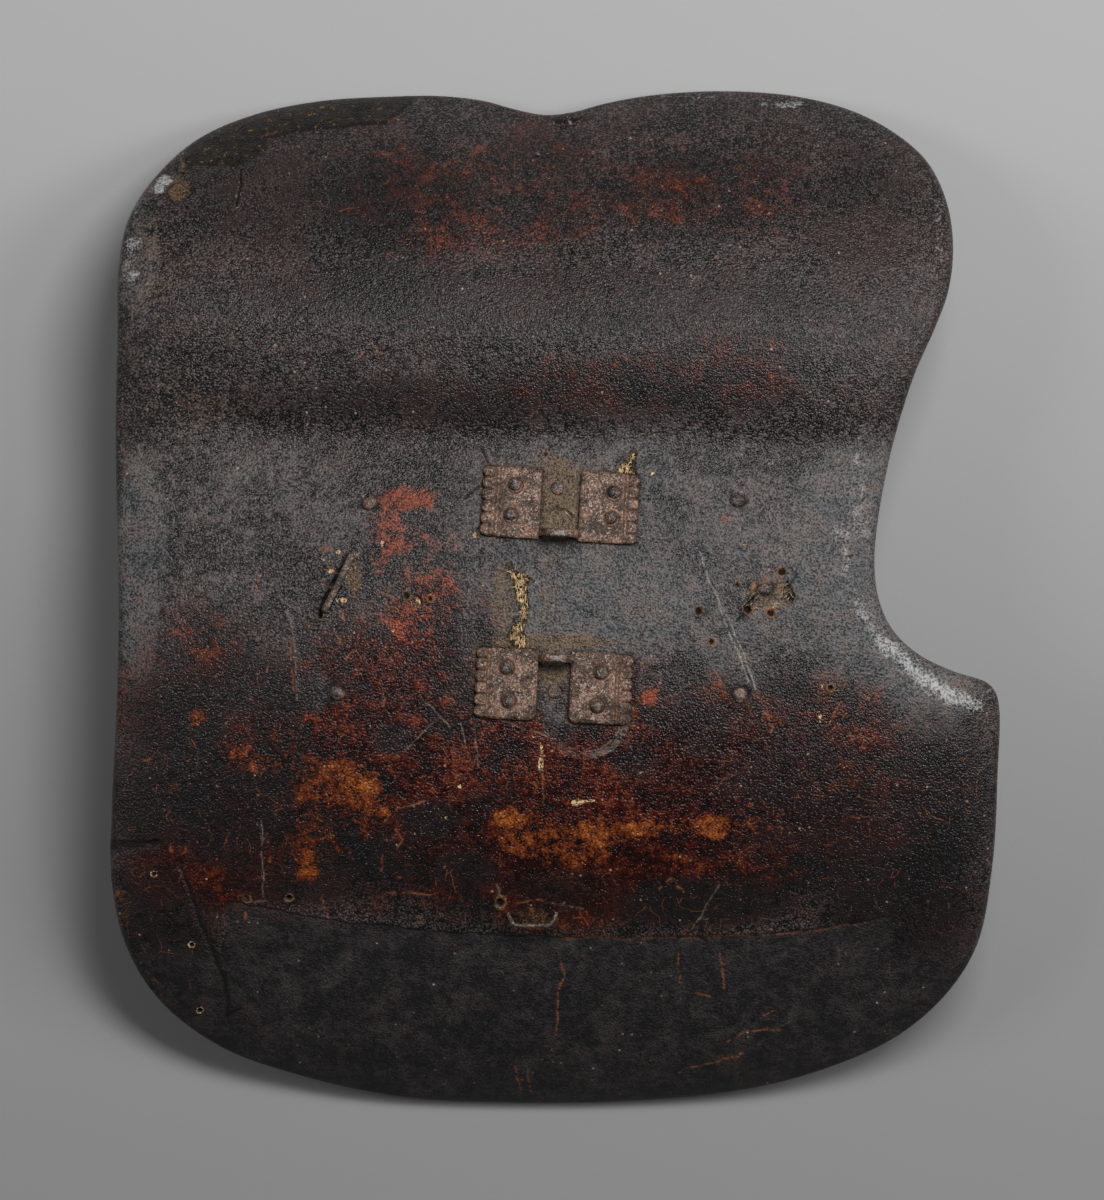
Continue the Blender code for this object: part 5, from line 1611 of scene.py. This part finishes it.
def head_piece(node, frame_at, size, lift, seed, material, stretch=1.0, dome=0.55, worn=0.5):
    """A hand hammered nail head with a short shank, seated on the leather or on a plate."""
    radius, rise = size
    draws = np.random.default_rng(seed)
    angles = 2.0 * math.pi * np.arange(HEAD_SIDES) / HEAD_SIDES
    lumpy = 1.0 + 0.05 * np.sin(2 * angles + draws.uniform(0, 6))
    lumpy = lumpy + 0.03 * np.sin(3 * angles + draws.uniform(0, 6))
    lumpy = lumpy / lumpy.max()
    points = [[0.0, 0.0, rise]]
    for ring in range(HEAD_RINGS):
        share = (ring + 1) / HEAD_RINGS
        height = rise * (1.0 - share ** (2.0 / dome)) ** dome
        for angle, lump in zip(angles, lumpy):
            reach = radius * share * lump
            points.append([reach * math.cos(angle) * stretch, reach * math.sin(angle), height])
    points = np.array(points)
    for _ in range(FACET_COUNT):
        turn = draws.uniform(0.0, 2.0 * math.pi)
        lean = draws.uniform(0.25, 0.85)
        level = math.sin(lean)
        facing = np.array([level * math.cos(turn), level * math.sin(turn), math.cos(lean)])
        along = points @ facing
        limit = along.max() - draws.uniform(0.03, 0.09) * radius
        points[:, 2] -= np.maximum(along - limit, 0.0) / facing[2] * 0.8
    dents = rough_noise(points[:, 0] + seed, points[:, 1], radius / 2.0, seed)
    points[:, 2] = np.maximum(points[:, 2] * (1.0 + 0.05 * dents), 0.0) + lift
    skirt = points[-HEAD_SIDES:].copy()
    skirt[:, 2] = lift - SKIRT_DEPTH
    foot = skirt.copy()
    foot[:, :2] *= SHANK_RADIUS / radius * 0.8
    deep = foot.copy()
    deep[:, 2] = -SHANK_DEPTH
    bottom = np.array([[0.0, 0.0, -SHANK_DEPTH]])
    verts = np.concatenate([points, skirt, foot, deep, bottom])
    rings = 1 + np.arange((HEAD_RINGS + 3) * HEAD_SIDES).reshape(-1, HEAD_SIDES)
    faces = []
    for near, far in zip(rings, rings[1:]):
        faces += band_faces(near, far)
    for tip, ring in ((0, rings[0]), (len(verts) - 1, rings[-1])):
        faces += [[tip, int(one), int(two)] for one, two in zip(ring, np.roll(ring, -1))]
    level = (verts[:, 2] - lift) / rise
    reach = np.hypot(verts[:, 0] / stretch, verts[:, 1]) / radius
    patches = smooth_step(rough_noise(verts[:, 0] + seed, verts[:, 1], 0.002, seed) + 0.6)
    # Crowns lighter with wear and painted highlight; painted shade round the head's edge
    masks = {
        "worn": worn * smooth_step((level - 0.55) / 0.4) * patches,
        "dirt": smooth_step((reach - 0.80) / 0.2) * 0.8,
    }
    piece = mesh_piece(node + "_head", verts, faces, material, masks, frame_at)
    finish_piece(piece, "nail_iron", node)


def iron_heads(material):
    """All rivets, nails and pins in their seats, each with a seed of its own."""
    heads = []
    for label, facts in BRACKETS.items():
        to_board = bracket_frame(facts["place"], facts["tilt"])
        nails = [(f"_bracket_rivet_{number}", share) for number, share in enumerate(facts["rivets"], start=1)]
        for name, (share_u, share_v) in nails + [("_middle_nail", facts["middle_nail"])]:
            place = seat(to_board(share_u * BRACKET_LENGTH, share_v * BRACKET_HEIGHT))
            if name == "_middle_nail":
                heads.append((label + name, place, MIDDLE_HEAD, 0.0, {"dome": 0.35, "worn": 0.3}))
            else:
                heads.append((label + name, place, RIVET_HEAD, CLEARANCE + PLATE, {}))
    board_head = (BOARD_HEAD[0] * BOARD_HEAD_SHARE, BOARD_HEAD[1])
    heads += [(name, seat(on_board(place)), board_head, 0.0, {}) for name, place in BOARD_NAILS.items()]
    patch_seat = seat(on_board(PATCH_RIVET_PLACE), PATCH_RIVET_TURN)
    oval = {"stretch": PATCH_RIVET_STRETCH, "worn": 0.3}
    heads.append(("patch_rivet", patch_seat, PATCH_HEAD, 0.0, oval))
    low = {"dome": 0.4, "worn": 0.6}
    heads += [(name, seat(on_board(place)), PIN_HEAD, 0.0, low) for name, place in PINS.items()]
    for seed, (name, place, size, lift, form) in enumerate(heads, start=HEAD_SEED):
        head_piece(name, place, size, lift, seed, material, **form)


# Staples

BAR_SIDES = 18
STAPLE_DEPTH = 0.0050


def soft_path(corners, bend, steps=7, straight=6):
    """Points along straight runs whose corners are rounded by quadratic curves."""
    path = []
    start = corners[0]
    for before, corner, after in zip(corners, corners[1:], corners[2:]):
        into = corner + (before - corner).normalized() * min(bend, (before - corner).length * 0.48)
        out = corner + (after - corner).normalized() * min(bend, (after - corner).length * 0.48)
        path += [start.lerp(into, step / straight) for step in range(straight)]
        for step in range(steps):
            share = step / steps
            path.append(into.lerp(corner, share).lerp(corner.lerp(out, share), share))
        start = out
    path += [start.lerp(corners[-1], step / straight) for step in range(straight + 1)]
    return path


def tube_faces(rings):
    """Faces of a tube through rings of vertices, with both ends closed."""
    bands = [face for first, second in zip(rings, rings[1:]) for face in band_faces(first, second)]
    return [rings[0][::-1], rings[-1], *bands]


def bar_piece(node, path, across, half_width, half_rise, seed, material, frame_at, uneven):
    """A hammered or drawn bar along a path, with rounded ends, lumps, and upper edges lighter with wear and
    painted highlight.
    """
    verts = []
    worn = []
    rings = []
    for index, point in enumerate(path):
        back = path[index] - path[max(index - 1, 0)]
        ahead = path[min(index + 1, len(path) - 1)] - path[index]
        heading = (back.normalized() + ahead.normalized()).normalized()
        up = heading.cross(across).normalized()
        rings.append(list(range(len(verts), len(verts) + BAR_SIDES)))
        for side in range(BAR_SIDES):
            angle = 2.0 * math.pi * side / BAR_SIDES
            around = np.array(math.cos(angle) * 1.5 + seed)
            lump = float(lattice_noise(np.array(index * 0.11), around, 1.0, seed))
            swell = 1.0 + uneven * lump
            offset = across * half_width * math.cos(angle) + up * half_rise * math.sin(angle)
            verts.append(point + offset * swell)
            # Upper side lighter with wear and painted highlight
            worn.append(max(0.0, offset.z / half_rise) ** 2 * (0.5 + 0.5 * lump))
    masks = {"worn": 0.6 * np.array(worn), "dirt": np.zeros(len(verts))}
    piece = mesh_piece(node + "_bar", verts, tube_faces(rings), material, masks, frame_at)
    finish_piece(piece, "staple_iron", node)


def staples(material):
    foot = WIRE_STAPLE_FEET / 2.0
    bar = WIRE_STAPLE_BAR / 2.0
    top = (-WIRE_STAPLE_LEAN, WIRE_STAPLE_RISE)
    wire = [
        (-foot, 0.0, -STAPLE_DEPTH), (-foot, 0.0, WIRE_RADIUS), (-bar, *top),
        (bar, *top), (foot, 0.0, WIRE_RADIUS), (foot, 0.0, -STAPLE_DEPTH),
    ]
    reach = SIDE_STAPLE_LENGTH / 2.0 - SIDE_STAPLE_HALF_RISE
    rise = CLEARANCE + SIDE_STAPLE_HALF_RISE
    flat = [
        (-reach, 0.0, -STAPLE_DEPTH), (-reach, 0.0, rise),
        (reach, 0.0, rise), (reach, 0.0, -STAPLE_DEPTH),
    ]
    across = Vector((0.0, 1.0, 0.0))
    bar_piece(
        "wire_staple", soft_path([Vector(corner) for corner in wire], 0.0030), across,
        WIRE_RADIUS, WIRE_RADIUS, 601, material, seat(on_board(WIRE_STAPLE_PLACE)), 0.08,
    )
    bar_piece(
        "side_staple", soft_path([Vector(corner) for corner in flat], 0.0016, straight=14), across,
        SIDE_STAPLE_HALF_WIDTH, SIDE_STAPLE_HALF_RISE, 611, material,
        seat(on_board(SIDE_STAPLE_PLACE), SIDE_STAPLE_TURN), 0.16,
    )


# Tow fibres in the tears

FIBRE_SIDES = 5
FIBRE_STEPS = 8


def fibre(verts, faces, path, radius):
    """Adds one closed thin tube along a path."""
    rings = []
    for index, point in enumerate(path):
        before = path[max(index - 1, 0)]
        after = path[min(index + 1, len(path) - 1)]
        heading = (after - before).normalized()
        side = heading.cross(Vector((0.0, 0.0, 1.0)))
        side = side.normalized() if side.length > 1e-6 else Vector((1.0, 0.0, 0.0))
        up = side.cross(heading)
        taper = radius * (1.0 - 0.6 * abs(2.0 * index / (len(path) - 1) - 1.0) ** 3)
        rings.append(list(range(len(verts), len(verts) + FIBRE_SIDES)))
        for turn in range(FIBRE_SIDES):
            angle = 2.0 * math.pi * turn / FIBRE_SIDES
            verts.append(point + (side * math.cos(angle) + up * math.sin(angle)) * taper)
    faces.extend(tube_faces(rings))


def fibre_tuft(name, material, ribbon, count, length, direction, spread, depth, radius, seed):
    """Fibres strewn along a ribbon of pixels, mostly along one direction, some standing up."""
    draws = np.random.default_rng(seed)
    verts = []
    faces = []
    ribbon = np.array(ribbon, dtype=float)
    for _ in range(count):
        share = draws.uniform(0.0, len(ribbon) - 1.0)
        middle = [np.interp(share, np.arange(len(ribbon)), ribbon[:, axis]) for axis in (0, 1, 2)]
        px = middle[0] + draws.uniform(-0.8, 0.8) * middle[2]
        py = middle[1] + draws.uniform(-0.5, 0.5) * middle[2]
        start = spot(px, py, -depth + draws.uniform(0.0, 0.6) * depth)
        heading = math.radians(direction) + draws.normal(0.0, spread)
        reach = length * draws.uniform(0.4, 1.2)
        lean = draws.uniform(-0.1, 0.35)
        curl = draws.normal(0.0, 1.1)
        path = []
        for step in range(FIBRE_STEPS + 1):
            along = step / FIBRE_STEPS - 0.5
            turn = heading + curl * along
            x = start.x + reach * along * math.cos(turn)
            y = start.y + reach * along * math.sin(turn)
            z = start.z + reach * (lean * (along + 0.5) ** 2 + 0.10 * (0.25 - along ** 2))
            path.append(Vector((x, y, z)))
        fibre(verts, faces, path, radius * draws.uniform(0.6, 1.3))
    piece = mesh_piece(name, [tuple(vert) for vert in verts], faces, material)
    finish_piece(piece, "tow")


# Ribbon, fibres, length, direction, spread, depth, radius and seed of each tuft
PATCH_RIBBON = [(776, 572, 6.0), (790, 592, 6.0), (770, 608, 8.0), (750, 606, 6.0)]
STAPLE_RIBBON = [(322, 616, 4.0), (336, 600, 5.0), (344, 572, 5.0), (356, 556, 4.0)]
TUFTS = {
    "centre_tear_tow": (CENTRE_TEAR[1:-1], 110, 0.0075, 95, 0.35, 0.0016, 0.00022, 701),
    "flap_tow": (FLAP_TEAR, 24, 0.0045, 60, 0.5, 0.0008, 0.00018, 711),
    "patch_tow": (PATCH_RIBBON, 34, 0.0050, 30, 0.8, 0.0005, 0.00016, 721),
    "side_staple_tow": (STAPLE_RIBBON, 34, 0.0055, 63, 0.5, 0.0004, 0.00017, 731),
}


# Floor, light and camera

FLOOR_REACH = 4.0
AIM = (0.0, 0.0, 0.08)
WORLD_LIGHT = 0.06
# Place, width and height in metres, and power in watts
SOFTBOXES = {
    "key": ((0.80, 1.20, 2.65), (1.5, 0.75), 66.0),
    "left": ((-2.30, 0.30, 2.00), (0.9, 1.6), 20.0),
    "right": ((2.30, 0.35, 2.00), (0.9, 1.6), 32.0),
}


def floor_material():
    """Pale grey studio floor with painted light: its colour grows lighter towards the top of the view,
    towards the key light.
    """
    s = Shader("studio_floor")
    split = s.add("ShaderNodeSeparateXYZ")
    s.feed(split.inputs[0], s.place)
    # Painted light: the colour is lighter towards +Y, where the key light stands
    share = s.step(split.outputs[1], -0.35, 0.35)
    tooth = s.noise(0.002, 3.0, 0.5)
    low = s.mix(tooth, (0.244, 0.244, 0.244), (0.256, 0.256, 0.256))
    high = s.mix(tooth, (0.390, 0.390, 0.390), (0.404, 0.404, 0.404))
    return s.finish(s.mix(share, low, high), 0.9, tooth, 0.00002)


def add_floor():
    mesh = bpy.data.meshes.new("studio_floor")
    corners = [(-1, -1), (1, -1), (1, 1), (-1, 1)]
    mesh.from_pydata([(x * FLOOR_REACH, y * FLOOR_REACH, 0.0) for x, y in corners], [], [(0, 1, 2, 3)])
    mesh.materials.append(floor_material())
    floor = add_object("studio_floor", mesh)


def add_lights():
    for name, (place, size, power) in SOFTBOXES.items():
        light = bpy.data.lights.new(name, "AREA")
        light.shape = "RECTANGLE"
        light.size, light.size_y = size
        light.energy = power
        holder = add_object(name, light)
        holder.location = place
        holder.rotation_euler = (Vector(AIM) - Vector(place)).to_track_quat("-Z", "Y").to_euler()
    world = bpy.data.worlds.new("studio")
    world.use_nodes = True
    background = world.node_tree.nodes["Background"]
    background.inputs["Color"].default_value = (1.0, 1.0, 1.0, 1.0)
    background.inputs["Strength"].default_value = WORLD_LIGHT
    bpy.context.scene.world = world


def add_camera():
    camera = bpy.data.cameras.new("camera")
    camera.sensor_fit = "VERTICAL"
    camera.sensor_height = SENSOR_HEIGHT
    camera.lens = SENSOR_HEIGHT * CAMERA_PLACE[2] / (METRES_PER_PIXEL * PHOTO_SIZE[1])
    camera.clip_start, camera.clip_end = CLIP
    holder = add_object("camera", camera)
    holder.location = CAMERA_PLACE
    bpy.context.scene.camera = holder


def build():
    add_camera()
    add_lights()
    add_floor()
    leather_piece(leather_material())
    bracket_iron = iron_material("bracket_rust", BRACKET_TONES)
    nail_iron = iron_material("nail_rust", NAIL_TONES, dullness=0.38)
    staple_iron = iron_material("staple_iron", STAPLE_TONES, 0.40)
    for label, facts in BRACKETS.items():
        bracket_piece(label, facts, bracket_iron)
    iron_heads(nail_iron)
    staples(staple_iron)
    tow = tow_material()
    for name, facts in TUFTS.items():
        fibre_tuft(name, tow, *facts)
    bpy.context.scene.view_settings.view_transform = "Standard"


build()
